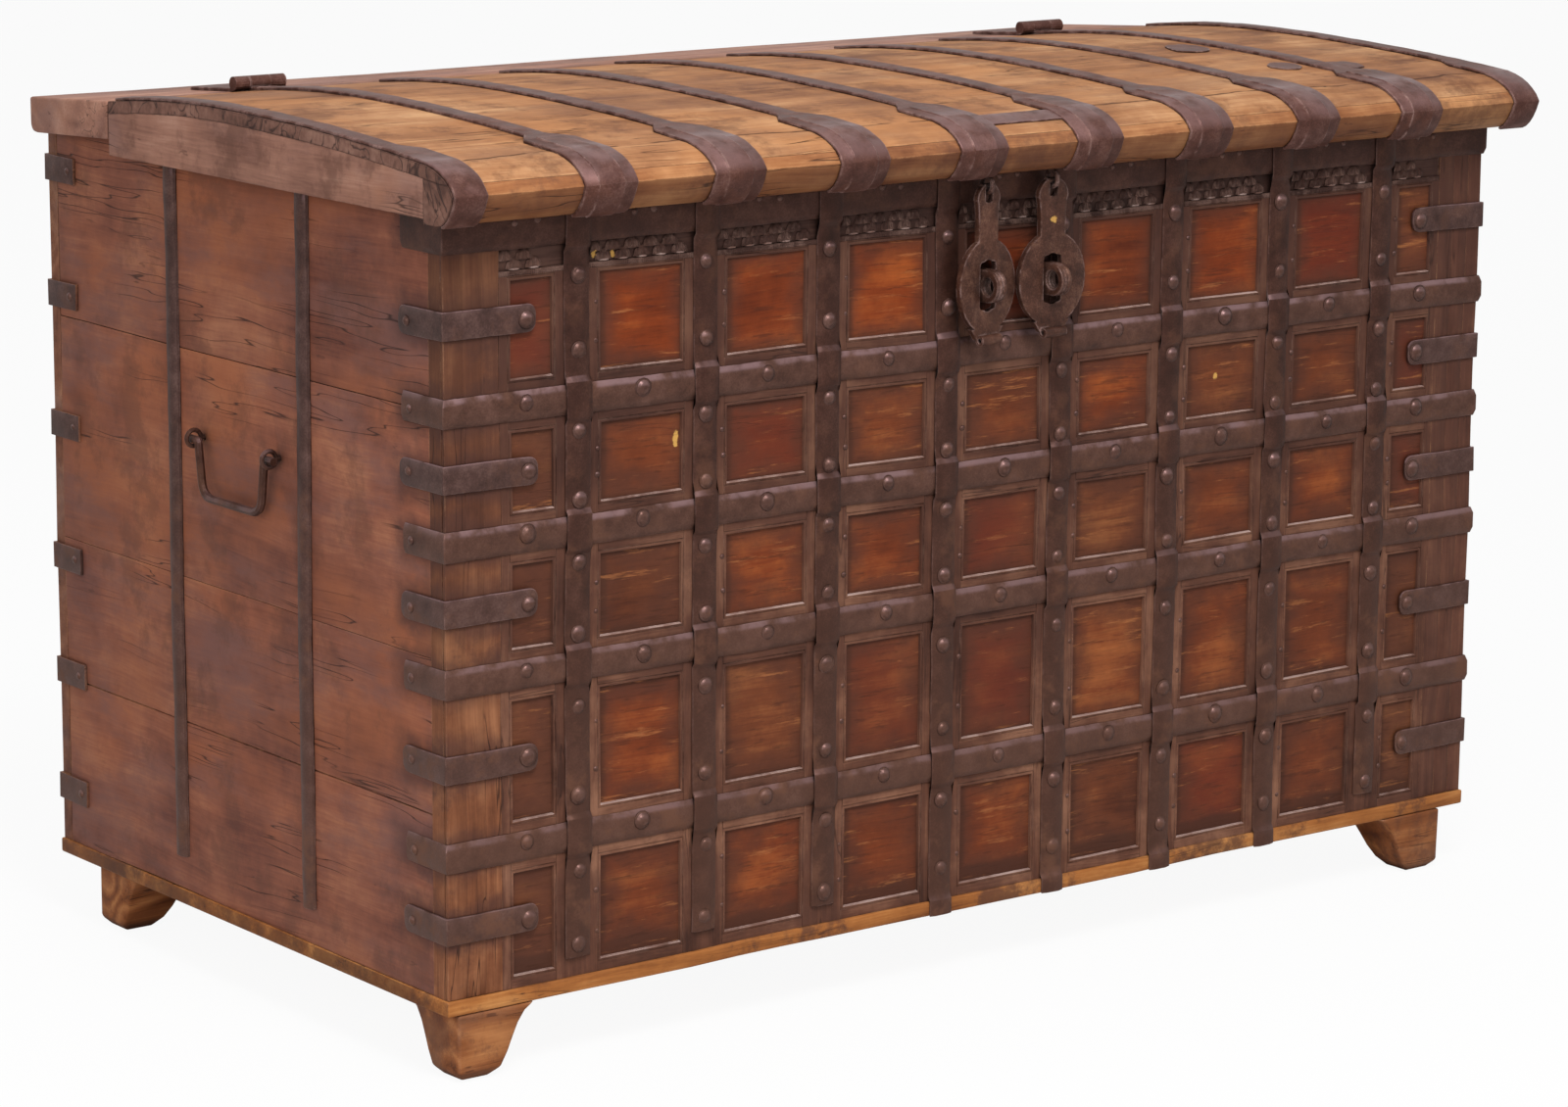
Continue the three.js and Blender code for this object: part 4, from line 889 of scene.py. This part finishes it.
# %% [markdown]
# The corners of the front are closed by wide stiles of vertical grain, scored in three strips, and the rail
# under the top band carries the carved frieze.

# %% Stiles
stiles = []
for name, left, finish in (("left", 0, stile_wood), ("right", WIDTH - STILE, right_stile_wood)):
    stile = block(f"stile_{name}", (left, FACE, 0.3), (left + STILE, BOARD_FACE, HEIGHT))
    edit(stile)
    for share in (0.36, 0.7):
        score(0, left + STILE * share)
    slice_at(2, *[HEIGHT * k / 26 for k in range(1, 26)])
    done()
    ease(stile, 0.6, sharper=60)
    coat(stile, finish)
    stiles.append(stile)
tell("stiles:", stiles)

# %% Frieze rail and beads
CARVE_FLOOR = 2.8
RIB = 2.2
rail = block("frieze_rail", (0, CARVE_FLOOR, RAIL_FOOT), (WIDTH, BOARD_FACE, HEIGHT))
coat(rail, frieze_wood)
rib = block("bead", (STILE, FACE - 0.4, RAIL_FOOT), (STILE + RIB, CARVE_FLOOR, RAIL_FOOT + 5.4))
ease(rib, 0.7)
coat(rib, frieze_wood)
rib_count = int((WIDTH - 2 * STILE) / RIB)
bead_row = join("bead_row", [rib] + [shifted(rib, f"bead_{k}", k * RIB) for k in range(1, rib_count)])
print("beads:", rib_count)

# %% [markdown]
# The frieze is two rows of carved scales, the upper row half a step along, with crossing leaves between them
# and a lip under each lower scale, painted pale as a highlight. It was cut with gouges; here one scale is a
# ball flattened on the rail and cut off below, with two narrow leaves laid on it, and the pair of rows is
# stepped along each field.

# %% A gouged lump
UNIT = (PITCH - STRAP) / 5.5
FRIEZE_FOOT = RAIL_FOOT + 5.6
SCALE_TALL = (BAND_LOW - FRIEZE_FOOT) * 0.54


def gouged(name, at, size, lean=0, cut=None, finish=frieze_wood):
    """A ball flattened on the rail at a place, leaning sideways by degrees, and cut off level at a height."""
    only()
    bpy.ops.mesh.primitive_uv_sphere_add(segments=10, ring_count=6, radius=1, location=(0, 0, 0))
    lump = bpy.context.object
    lump.name = name
    lump.data.transform(Matrix.Diagonal((size[0] * MM, size[1] * MM, size[2] * MM, 1)))
    lump.data.transform(Matrix.Translation(place(*at)) @ Matrix.Rotation(math.radians(lean), 4, "Y"))
    edit(lump, chosen="SELECT")
    bpy.ops.mesh.bisect(plane_co=place(0, CARVE_FLOOR, 0), plane_no=(0, 1, 0), clear_outer=True)
    if cut is not None:
        bpy.ops.mesh.select_all(action="SELECT")
        bpy.ops.mesh.bisect(plane_co=place(0, 0, cut), plane_no=(0, 0, -1), clear_outer=True, use_fill=True)
    done()
    coat(lump, finish)
    return lump

# %% One scale


def scale_at(along, foot, lip):
    """One scale: a dome with two leaves on it, and a lip under a lower one, painted pale as a highlight."""
    parts = [gouged("dome", (along, CARVE_FLOOR, foot), (UNIT * 0.46, 2.6, SCALE_TALL), cut=foot)]
    leaf_size = (UNIT * 0.13, 4.4, SCALE_TALL * 0.46)
    for way in (-1, 1):
        root = (along + way * UNIT * 0.17, CARVE_FLOOR, foot + SCALE_TALL * 0.4)
        parts.append(gouged("leaf", root, leaf_size, lean=-16 * way, cut=foot))
    if lip:
        parts.append(gouged("lip", (along, CARVE_FLOOR, foot), (UNIT * 0.3, 4, 1.3), finish=pale_highlight_wood))
    return parts

# %% The frieze
lower = scale_at(STILE + UNIT / 2, FRIEZE_FOOT + 1, True)
upper = scale_at(STILE, FRIEZE_FOOT + 1 + SCALE_TALL * 0.8, False)
unit = join("frieze_unit", lower + upper)
units = []
starts = [STILE + 2] + [u + STRAP / 2 + 2 for u in UPRIGHTS]
counts = [2] + [5] * 7 + [2]
for start, count in zip(starts, counts):
    for k in range(count):
        units.append(shifted(unit, f"carved_{len(units)}", start + (k + 0.25) * UNIT - STILE))
bpy.data.objects.remove(unit)
frieze = join("carved_frieze", units)
smooth(frieze, 50)
print("frieze units:", len(units))
tell("frieze:", [frieze])

# %% [markdown]
# Short straps tie the corners between the long ones. Each is a flat bar with a round end, bent round the
# corner. A block is rounded at its end by a vertical bevel, and its back end is pulled round by an extrusion.

# %% One corner tie
TIE_THICK = 3
TIE_HALF = 14


def corner_tie(name, high, reach_front, reach_side, side):
    """A tie round one front corner of the box; side is -1 on the left and 1 on the right."""
    tie = block(name, (-TIE_THICK, -TIE_THICK, high - TIE_HALF), (reach_front, 0, high + TIE_HALF))
    edit(tie)
    slice_at(0, 0)
    pick(lambda at, n: n.y > 0.9 and at.x < 0)
    bpy.ops.mesh.extrude_region_move(TRANSFORM_OT_translate={"value": (0, reach_side * MM, 0)})
    done()
    for axis, end in ((0, reach_front), (1, reach_side)):
        edit(tie, "EDGE")
        pick(lambda at, way: abs(at[axis] - end) < 0.1 and abs(way[1 - axis]) > 0.9, "edges")
        bpy.ops.mesh.bevel(offset=9.5 * MM, segments=4, profile=0.5, affect="EDGES")
        done()
    ease(tie, 0.9, 2, 35)
    if side > 0:
        middle = 2 * (ORIGIN.x + WIDTH / 2 * MM)
        tie.data.transform(Matrix.Translation((middle, 0, 0)) @ Matrix.Scale(-1, 4, (1, 0, 0)))
        edit(tie, chosen="SELECT")
        bpy.ops.mesh.normals_make_consistent(inside=False)
        done()
    coat(tie, tie_iron)
    return tie

# %% Corner ties
TIE_FRONT = 107
TIE_SIDE = 73
front_ties = [
    corner_tie(f"tie_front_{name}_{k}", share * HEIGHT, TIE_FRONT, TIE_SIDE, side)
    for side, name in ((-1, "left"), (1, "right"))
    for k, share in enumerate(FRONT_TIE_SHARES)
]
tell("front ties:", front_ties)

# %% [markdown]
# Nothing here was made by machine: straps wander a millimetre or two, edges are never quite straight, and
# boards have moved. One slow cloud of displacement, read in object coordinates, shifts everything on the box
# together, so a rivet stays on its strap. A second, finer cloud is for the hammered iron alone.

# %% Drift


def cloud(name, size):
    """A colour cloud whose three channels push points along X, Y and Z."""
    texture = bpy.data.textures.get(name) or bpy.data.textures.new(name, "CLOUDS")
    texture.cloud_type = "COLOR"
    texture.noise_scale = size
    texture.noise_depth = 1
    return texture


def wander(piece, slow=3.6, fine=0):
    """Lets a piece wander by hand: slow drift that neighbours share, and fine unevenness of its own."""
    for name, size, amount in (("drift", 0.21, slow), ("hammer_marks", 0.026, fine)):
        if amount:
            group = "loose" if piece.vertex_groups else ""
            modify(piece, "DISPLACE", texture=cloud(name, size), texture_coords="LOCAL", space="LOCAL",
                   direction="RGB_TO_XYZ", strength=amount * MM, mid_level=0.5, vertex_group=group)
    shave(piece)


def hold(piece, mark, fade=70):
    """Keeps whatever lies behind a mark, in millimetres, from wandering, so that a hinge still turns true."""
    loose = piece.vertex_groups.new(name="loose")
    for point in piece.data.vertices:
        back = (point.co.y - ORIGIN.y) / MM
        loose.add([point.index], min(max((mark - back) / fade, 0), 1), "REPLACE")

# %% Wrought straps


def notch(piece, axis, step):
    """Cuts a piece across at every step, in millimetres, so that it can wander."""
    low = min((v.co[axis] - ORIGIN[axis]) / MM for v in piece.data.vertices)
    high = max((v.co[axis] - ORIGIN[axis]) / MM for v in piece.data.vertices)
    edit(piece)
    mark = low + step
    while mark < high - step / 2:
        slice_at(axis, mark)
        mark += step
    done()


def wrought(node, finish, axes, body="carcass", step=18, slow=3.6, fine=1.1, start=None, still=None):
    """A hammered copy of a strap of the CAD model, or of a piece already started from it, in its place."""
    piece = start or forged(node)
    ease(piece, 0.7, sharper=28)
    for axis in axes:
        notch(piece, axis, step)
    if still:
        hold(piece, still)
    wander(piece, slow, fine)
    coat(piece, finish)
    smooth(piece, 24)
    return fit(piece, body, "strap_iron", node)

# %% [markdown]
# The front goes on as one joined piece, with the beads and the carving as two more, because they share one
# piece of timber on the real chest. Each gets the shared drift before it is fitted to the box.

# %% Fit the front
panels = join("front_panels", fields + stiles + [rail])
for piece in (panels, bead_row, frieze):
    wander(piece)
    smooth(piece)
    fit(piece, "carcass", "moulding_wood")

front_tie_set = join("front_corner_ties", front_ties)
notch(front_tie_set, 0, 18)
wander(front_tie_set, fine=1.1)
smooth(front_tie_set, 30)
fit(front_tie_set, "carcass", "strap_iron")
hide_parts("front_moulding")
tell("front:", [panels, bead_row, frieze, front_tie_set])

# %% [markdown]
# The straps were hammered flat on an anvil, so their arrises are soft and their faces uneven. Each is worked
# from its CAD solid: eased, cut across every few millimetres, and moved by the drift and the finer cloud.

# %% Cross straps, band and uprights
SIDES = ("left", "right")
straps = [wrought(f"cross_strap_{k}", cross_iron, (0, 1)) for k in range(1, 5)]
straps.append(wrought("top_band", strap_iron, (0, 1)))
straps += [wrought(f"upright_strap_{k}", strap_iron, (2,)) for k in range(1, 9)]
for side in SIDES:
    straps += [wrought(f"side_bar_{side}_{k}", tie_iron, (2,), step=16, fine=1.4) for k in (1, 2)]
tell("straps:", straps)

# %% [markdown]
# The rivets have domed heads about 13 mm across, each in a shallow ring where the hammer set it. One head is
# drawn up from a twelve-sided disc, narrower at each step, and copied with a little turn and spread.

# %% A rivet head
RIM = 0.72
RIVET_STEPS = ((9.6, 0), (8.4, 0.6), (7.5, 0.7), (7, 1.3), (5.9, 2.6), (4, 3.7), (1.5, 4.3))


def rivet_model():
    """A rivet head that faces out of the front (towards -Y), at the world's origin."""
    only()
    bpy.ops.mesh.primitive_circle_add(vertices=12, radius=RIVET_STEPS[0][0] * MM, fill_type="NGON")
    head = bpy.context.object
    edit(head, chosen="SELECT")
    radius, rise = RIVET_STEPS[0]
    for wider, higher in RIVET_STEPS[1:]:
        bpy.ops.mesh.extrude_region_move(TRANSFORM_OT_translate={"value": (0, 0, (higher - rise) * MM)})
        bpy.ops.transform.resize(value=(wider / radius, wider / radius, 1))
        radius, rise = wider, higher
    done()
    coat(head, rivet_iron, seat_iron)
    for face in head.data.polygons:
        face.material_index = int(face.center.z < RIM * MM)
    head.data.transform(Matrix.Rotation(math.radians(90), 4, "X"))
    only(head)
    bpy.ops.object.shade_smooth()
    return head

# %% Setting a rivet
HEAD_MODEL = rivet_model()
setting = random.Random(7)
heads = []


def rivet(at, facing, size=1):
    """Sets a rivet at a place, in millimetres, with its head towards a direction."""
    head = copy_of(HEAD_MODEL, f"rivet_{len(heads)}")
    tilt = Vector((0, -1, 0)).rotation_difference(Vector(facing)).to_matrix().to_4x4()
    spread = size * setting.uniform(0.86, 1.12)
    flat = spread * setting.uniform(0.8, 1.1)
    turn = Matrix.Rotation(setting.uniform(0, math.tau), 4, "Y")
    lean = Matrix.Rotation(setting.uniform(-0.08, 0.08), 4, "X")
    wide = Matrix.Diagonal((spread, flat, spread * setting.uniform(0.93, 1.05), 1))
    spot = place(*at) + MM * Vector([setting.uniform(-1.2, 1.2) * (1 - abs(c)) for c in facing])
    head.data.transform(Matrix.Translation(spot) @ tilt @ lean @ turn @ wide)
    heads.append(head)

# %% Where the rivets are
STRAP_FACE = -3.8
FRONT = (0, -1, 0)
ENDS = ((0, -1), (WIDTH, 1))
ROW_EDGES = [0, *CROSSES, BAND_LOW]
LOWEST_RIVET = 34
END_RIVET = 94
TIE_RIVET = 96
FILLET_RIVET = STRAP / 2 + 8.5
SIDE_RIVETS = {"cross": 54, "tie": 58, "rear": DEPTH - 44}
middles = [END_RIVET] + [(a + b) / 2 for a, b in zip(UPRIGHTS, UPRIGHTS[1:])] + [WIDTH - END_RIVET]
print("rivets between the uprights at", [round(along) for along in middles])

# %% Rivets of the box
for along in UPRIGHTS:
    for low, high in zip(ROW_EDGES, ROW_EDGES[1:]):
        for share in (0.31, 0.8) if high == BAND_LOW else (0.24, 0.76):
            mark = LOWEST_RIVET if low == 0 and share < 0.5 else low + (high - low) * share
            rivet((along, STRAP_FACE, mark), FRONT)
for high in CROSSES:
    for along in middles:
        rivet((along, STRAP_FACE, high + 3), FRONT)
for high in CROSSES:
    for end, out in ENDS:
        rivet((end - out * STRAP_FACE, SIDE_RIVETS["cross"], high), (out, 0, 0), 0.6)
for along in middles:
    for share in (0.3, 0.72):
        rivet((along + (share - 0.5) * 60, STRAP_FACE, BAND_RIVETS), FRONT, 0.42)
for low, high in zip(row_lows, row_highs):
    for along in UPRIGHTS:
        for share in (0.3, 0.7):
            mark = low + (high - low) * share + setting.uniform(-6, 6)
            rivet((along + FILLET_RIVET, FACE, mark), FRONT, 0.3)
for share in FRONT_TIE_SHARES:
    for end, out in ENDS:
        rivet((end - out * TIE_RIVET, -TIE_THICK, share * HEIGHT), FRONT, 1.05)
        rivet((end + out * TIE_THICK, SIDE_RIVETS["tie"], share * HEIGHT), (out, 0, 0), 0.55)
for share in REAR_TIE_SHARES:
    for end, out in ENDS:
        rivet((end + out * TIE_THICK, SIDE_RIVETS["rear"], share * HEIGHT), (out, 0, 0), 0.55)
bpy.data.objects.remove(HEAD_MODEL)
rivets = join("carcass_rivets", heads)
wander(rivets)
fit(rivets, "carcass", "strap_iron")
print("rivets:", len(heads))

# %% [markdown]
# The boards are worked from the CAD solids: welded, then given worn arrises by a bevel, and notched along
# their length so that their edges can wander too.

# %% A worn board


def worked_board(node, finish, arris=1.6, axis=1, step=60, slow=3.6, body="carcass", slot="side_wood"):
    """A worn copy of a board, which stands for the CAD node."""
    piece = forged(node)
    ease(piece, arris, 2, 35)
    notch(piece, axis, step)
    wander(piece, slow)
    coat(piece, finish)
    smooth(piece, 35)
    return fit(piece, body, slot, node)

# %% Boards of the box
PROUD = 1.9
boards = [worked_board(f"side_plank_{side}_{k}", side_wood[k - 1]) for side in SIDES for k in (1, 2, 3)]
boards.append(worked_board("bottom_board", base_wood, arris=2.2, axis=0, slot="base_wood"))
for corner in ("front_left", "front_right", "rear_left", "rear_right"):
    boards.append(worked_board(f"foot_{corner}", foot_wood, arris=2.4, axis=2, step=12, slot="foot_wood"))
boards.append(worked_board("rear_rail", rail_wood, arris=2.5, axis=0, slot="gable_wood"))

tell("boards:", boards)

# %% Rear board
# The rear board carries its corner ties: whatever stands proud of the box is iron.
rear = worked_board("rear_board", rear_wood, arris=0.9, axis=0, step=30, slot="side_wood")
rear.data.materials.append(tie_iron)
for face in rear.data.polygons:
    at = (face.center - ORIGIN) / MM
    face.material_index = int(max(-at.x, at.x - WIDTH, at.y - DEPTH) > PROUD)
coat(nodes["front_board"], stile_wood)
tell("rear board and front board:", [rear, nodes["front_board"]])

# %% [markdown]
# The lid is a curved panel between two end boards, with a rounded rail along its nose. Its boards are worked
# like the others. A narrow band is cut off the panel and the rail at each end, because sawn ends show growth
# rings instead of long grain.

# %% Lid boards
END_BAND = 3.5
lid_boards = []
for node, finish, arris, axis, slot in (
    ("lid_planks", lid_wood, 0.8, 0, "lid_wood"),
    ("lid_nose_rail", nose_wood, 1.6, 0, "nose_wood"),
    ("lid_end_left", gable_wood, 1.8, 1, "gable_wood"),
    ("lid_end_right", gable_wood, 1.8, 1, "gable_wood"),
):
    board = worked_board(node, finish, arris=arris, axis=axis, slow=2, body="lid", slot=slot)
    lid_boards.append(board)
    if axis == 0:
        low, high = (corner.x + turn * END_BAND for corner, turn in zip(reach(node), (1, -1)))
        edit(board)
        slice_at(0, low, high)
        done()
        board.data.materials.append(board_ends)
        for face in board.data.polygons:
            face.material_index = int(not low < ((face.center - ORIGIN) / MM).x < high)
tell("lid boards:", lid_boards)

# %% [markdown]
# Where a lid strap passes over the nose, two narrow strips with pointed ends are laid against it, so that it
# spreads. They could be pieces of their own; here the flared strap is scored beside its middle, and the
# middle is lifted by an inset, which leaves the strips a step lower on both sides.

# %% A flared lid strap
RAISED_HALF = 15.5
RAISED_LIFT = 1.3
FLARE_BACK = 46
NOSE_HEART = Vector((0, 60, 770))
LID_WORK = {"axes": (1,), "body": "lid", "slow": 2, "fine": 1.4}


def raised_middle(node):
    """A worn copy of a lid strap with its middle lifted over the nose, where it is flared."""
    centre = sum(c.x for c in reach(node)) / 2
    piece = forged(node)
    edit(piece)
    slice_at(0, centre - RAISED_HALF, centre + RAISED_HALF)
    slice_at(1, FLARE_BACK)
    pick(lambda at, n: abs(at.x - centre) < RAISED_HALF and at.y < FLARE_BACK and outward(at, n))
    bpy.ops.mesh.inset(thickness=0.5 * MM, depth=RAISED_LIFT * MM)
    done()
    return piece


def outward(at, facing):
    """Whether a face of the lid's nose looks out of the chest."""
    away = at - NOSE_HEART
    return facing.dot(Vector((0, away.y, away.z)).normalized()) > 0.4

# %% Lid straps
lid_straps = []
for k in range(1, 9):
    node = f"lid_strap_{k}"
    still = reach("hinge_left")[0].y if k in (1, 8) else None
    lid_straps.append(wrought(node, lid_iron, start=raised_middle(node), still=still, **LID_WORK))
lid_straps += [wrought(f"lid_edge_strap_{side}", lid_iron, **LID_WORK) for side in SIDES]
tell("lid straps:", lid_straps)

# %% [markdown]
# Small pieces of sheet iron mend the lid: a strip let in between two straps, and leaf-shaped patches beside
# the last one. They were beaten down on to the boards. Here a flat outline is pressed on to the lid from
# above by a shrinkwrap modifier, and a solidify modifier gives it its thickness.

# %% Pressing sheet iron down
MEND_THICK = 1.6
mending = random.Random(11)


def pressed(sheet, *under):
    """Presses a flat sheet down on what lies under it and thickens it."""
    bed = join("bed", [copy_of(nodes[node], "bed_part") for node in under])
    modify(sheet, "SHRINKWRAP", target=bed, wrap_method="PROJECT", use_project_z=True,
           use_negative_direction=True, use_positive_direction=False, offset=0.3 * MM)
    modify(sheet, "SOLIDIFY", thickness=MEND_THICK * MM, offset=1)
    ease(sheet, 0.5, sharper=50)
    bpy.data.objects.remove(bed)
    wander(sheet, 2)
    coat(sheet, lid_iron)
    smooth(sheet, 30)
    return sheet

# %% A leaf-shaped patch


def leaf(name, along, back, wide, deep, turn):
    """A patch with a pointed leaf's outline, lying flat above the lid."""
    only()
    top = place(along, back, 900)
    bpy.ops.mesh.primitive_circle_add(vertices=18, radius=1, fill_type="NGON", location=(0, 0, 0))
    sheet = bpy.context.object
    sheet.name = name
    for k, v in enumerate(sheet.data.vertices):
        angle = math.tau * k / 18
        length = 0.72 + 0.28 * abs(math.cos(angle)) ** 1.5 + mending.uniform(-0.1, 0.06)
        v.co = Vector((v.co.x * wide / 2, v.co.y * deep / 2, 0)) * length * MM
    edit(sheet, chosen="SELECT")
    for share in (0.16, 0.3):
        bpy.ops.mesh.inset(thickness=min(wide, deep) * share * 0.5 * MM)
    done()
    sheet.data.transform(Matrix.Translation(top) @ Matrix.Rotation(math.radians(turn), 4, "Z"))
    return pressed(sheet, "lid_planks")

# %% Mends on the lid
mends = [
    leaf("leaf_a", 1190, 262, 84, 48, 62),
    leaf("leaf_b", 1200, 113, 62, 40, 58),
    leaf("leaf_c", 1272, 92, 60, 42, 66),
    leaf("leaf_d", 1229, 22, 40, 26, 70),
]
only()
bpy.ops.mesh.primitive_grid_add(x_subdivisions=30, y_subdivisions=4, size=1, location=(0, 0, 0))
strip = bpy.context.object
strip.data.transform(Matrix.Translation(place(709, -20, 900)) @ Matrix.Diagonal((112 * MM, 26 * MM, 1, 1)))
mends.append(pressed(strip, "lid_planks", "lid_strap_4", "lid_strap_5"))
mend_set = join("lid_mends", mends)
fit(mend_set, "lid", "strap_iron")
print("mends:", len(mends), "faces:", len(mend_set.data.polygons))

# %% [markdown]
# The lock staples are thick loops with two grooves forged round them. They could be bent from three rods;
# here the CAD loop is cut across beside each groove, and the ring of points between is drawn in towards its
# centre.

# %% A grooved lock staple
GROOVE_HALF = 1.3


def ribbed(node):
    """A worn copy of a lock staple with two grooves round its loop."""
    low, high = reach(node)
    round_half = (high.z - low.z) / 2
    centre = place(0, low.y + round_half, low.z + round_half)
    piece = forged(node)
    edit(piece, "VERT")
    for share in (0.34, 0.66):
        mark = low.x + (high.x - low.x) * share
        slice_at(0, mark - GROOVE_HALF, mark, mark + GROOVE_HALF)
        pick(lambda at, n: abs(at.x - mark) < 0.3 and at.y < -6, "verts")
        bpy.ops.transform.resize(value=(1, 0.9, 0.9), center_override=centre)
        bpy.ops.mesh.select_all(action="DESELECT")
    done()
    return piece

# %% Hasps, handles and hinges
for side in SIDES:
    hasp, staple = f"hasp_{side}", f"lock_staple_{side}"
    pair = ((forged(hasp), hasp, hasp, 1.5), (ribbed(staple), staple, "carcass", 0.9))
    for piece, node, body, width in pair:
        ease(piece, width, 2)
        smooth(piece)
        coat(piece, hasp_iron)
        shave(piece)
        fit(piece, body, "hasp_iron", node)
        tell(node, [piece])
    coat(nodes[f"hasp_eye_{side}"], hasp_iron)
    coat(nodes[f"hinge_{side}"], lid_iron)
    for node in (f"handle_bail_{side}", f"handle_eye_{side}_1", f"handle_eye_{side}_2"):
        coat(nodes[node], strap_iron)

# %% [markdown]
# The chest stands on a white floor. Its main light hangs high in front, with a weak one overhead and another
# low at the front left.
# The floor shows as white to the camera and keeps a trace of its shadow.

# %% White floor and world
WHITE_SHARE = 0.93


def set_stage():
    """A wide white floor and an even white world."""
    only()
    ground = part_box("foot_front_left")[0].z
    bpy.ops.mesh.primitive_circle_add(vertices=64, radius=60, fill_type="NGON", location=(0, 0, ground))
    floor = bpy.context.object
    floor.name = "floor"
    finish = bpy.data.materials.new("white_floor")
    finish.use_nodes = True
    tree = finish.node_tree
    tree.nodes.clear()
    start = Wire(tree, None)
    seen = start.add("LightPath")
    plain = start.add("BsdfDiffuse", {}, {"Color": (0.8, 0.8, 0.8, 1)})
    glow = start.add("Emission", {}, {"Color": (1, 1, 1, 1), "Strength": 1})
    mixed = start.add("MixShader", {}, {0: seen * WHITE_SHARE, 1: plain, 2: glow})
    output = tree.nodes.new("ShaderNodeOutputMaterial")
    tree.links.new(mixed.socket, output.inputs[0])
    floor.data.materials.append(finish)
    world = bpy.data.worlds.new("studio")
    bpy.context.scene.world = world
    world.use_nodes = True
    tree = world.node_tree
    start = Wire(tree, None)
    path = start.add("LightPath")
    glossy = path.socket.node.outputs["Is Glossy Ray"]
    through = path.socket.node.outputs["Is Transmission Ray"]
    white = path.sum("ADD", Wire(tree, glossy)).sum("ADD", Wire(tree, through), clamp=True)
    background = tree.nodes["Background"]
    background.inputs["Color"].default_value = (1, 1, 1, 1)
    tree.links.new((white * 0.55 + 0.45).socket, background.inputs["Strength"])

# %% A soft light


def soft_light(name, at, aim, size, energy):
    """A square area light that looks at a point."""
    data = bpy.data.lights.new(name, "AREA")
    data.shape = "SQUARE"
    data.size = size
    data.energy = energy
    light = bpy.data.objects.new(name, data)
    light.location = at
    light.rotation_euler = (Vector(aim) - Vector(at)).to_track_quat("-Z", "Y").to_euler()
    bpy.context.scene.collection.objects.link(light)

# %% Stage and lights
set_stage()
soft_light("high_front", (-1, -2.3, 3.5), (0, -0.2, 0.5), 1.3, 112)
soft_light("overhead", (0.2, 0.4, 3.6), (0, 0, 0.5), 2.2, 14)
soft_light("front_left", (-3.4, -2, 1.8), (0, 0, 0.5), 1.6, 34)
bpy.context.scene.view_settings.view_transform = "Standard"
print("lights:", [light.name for light in bpy.data.lights])
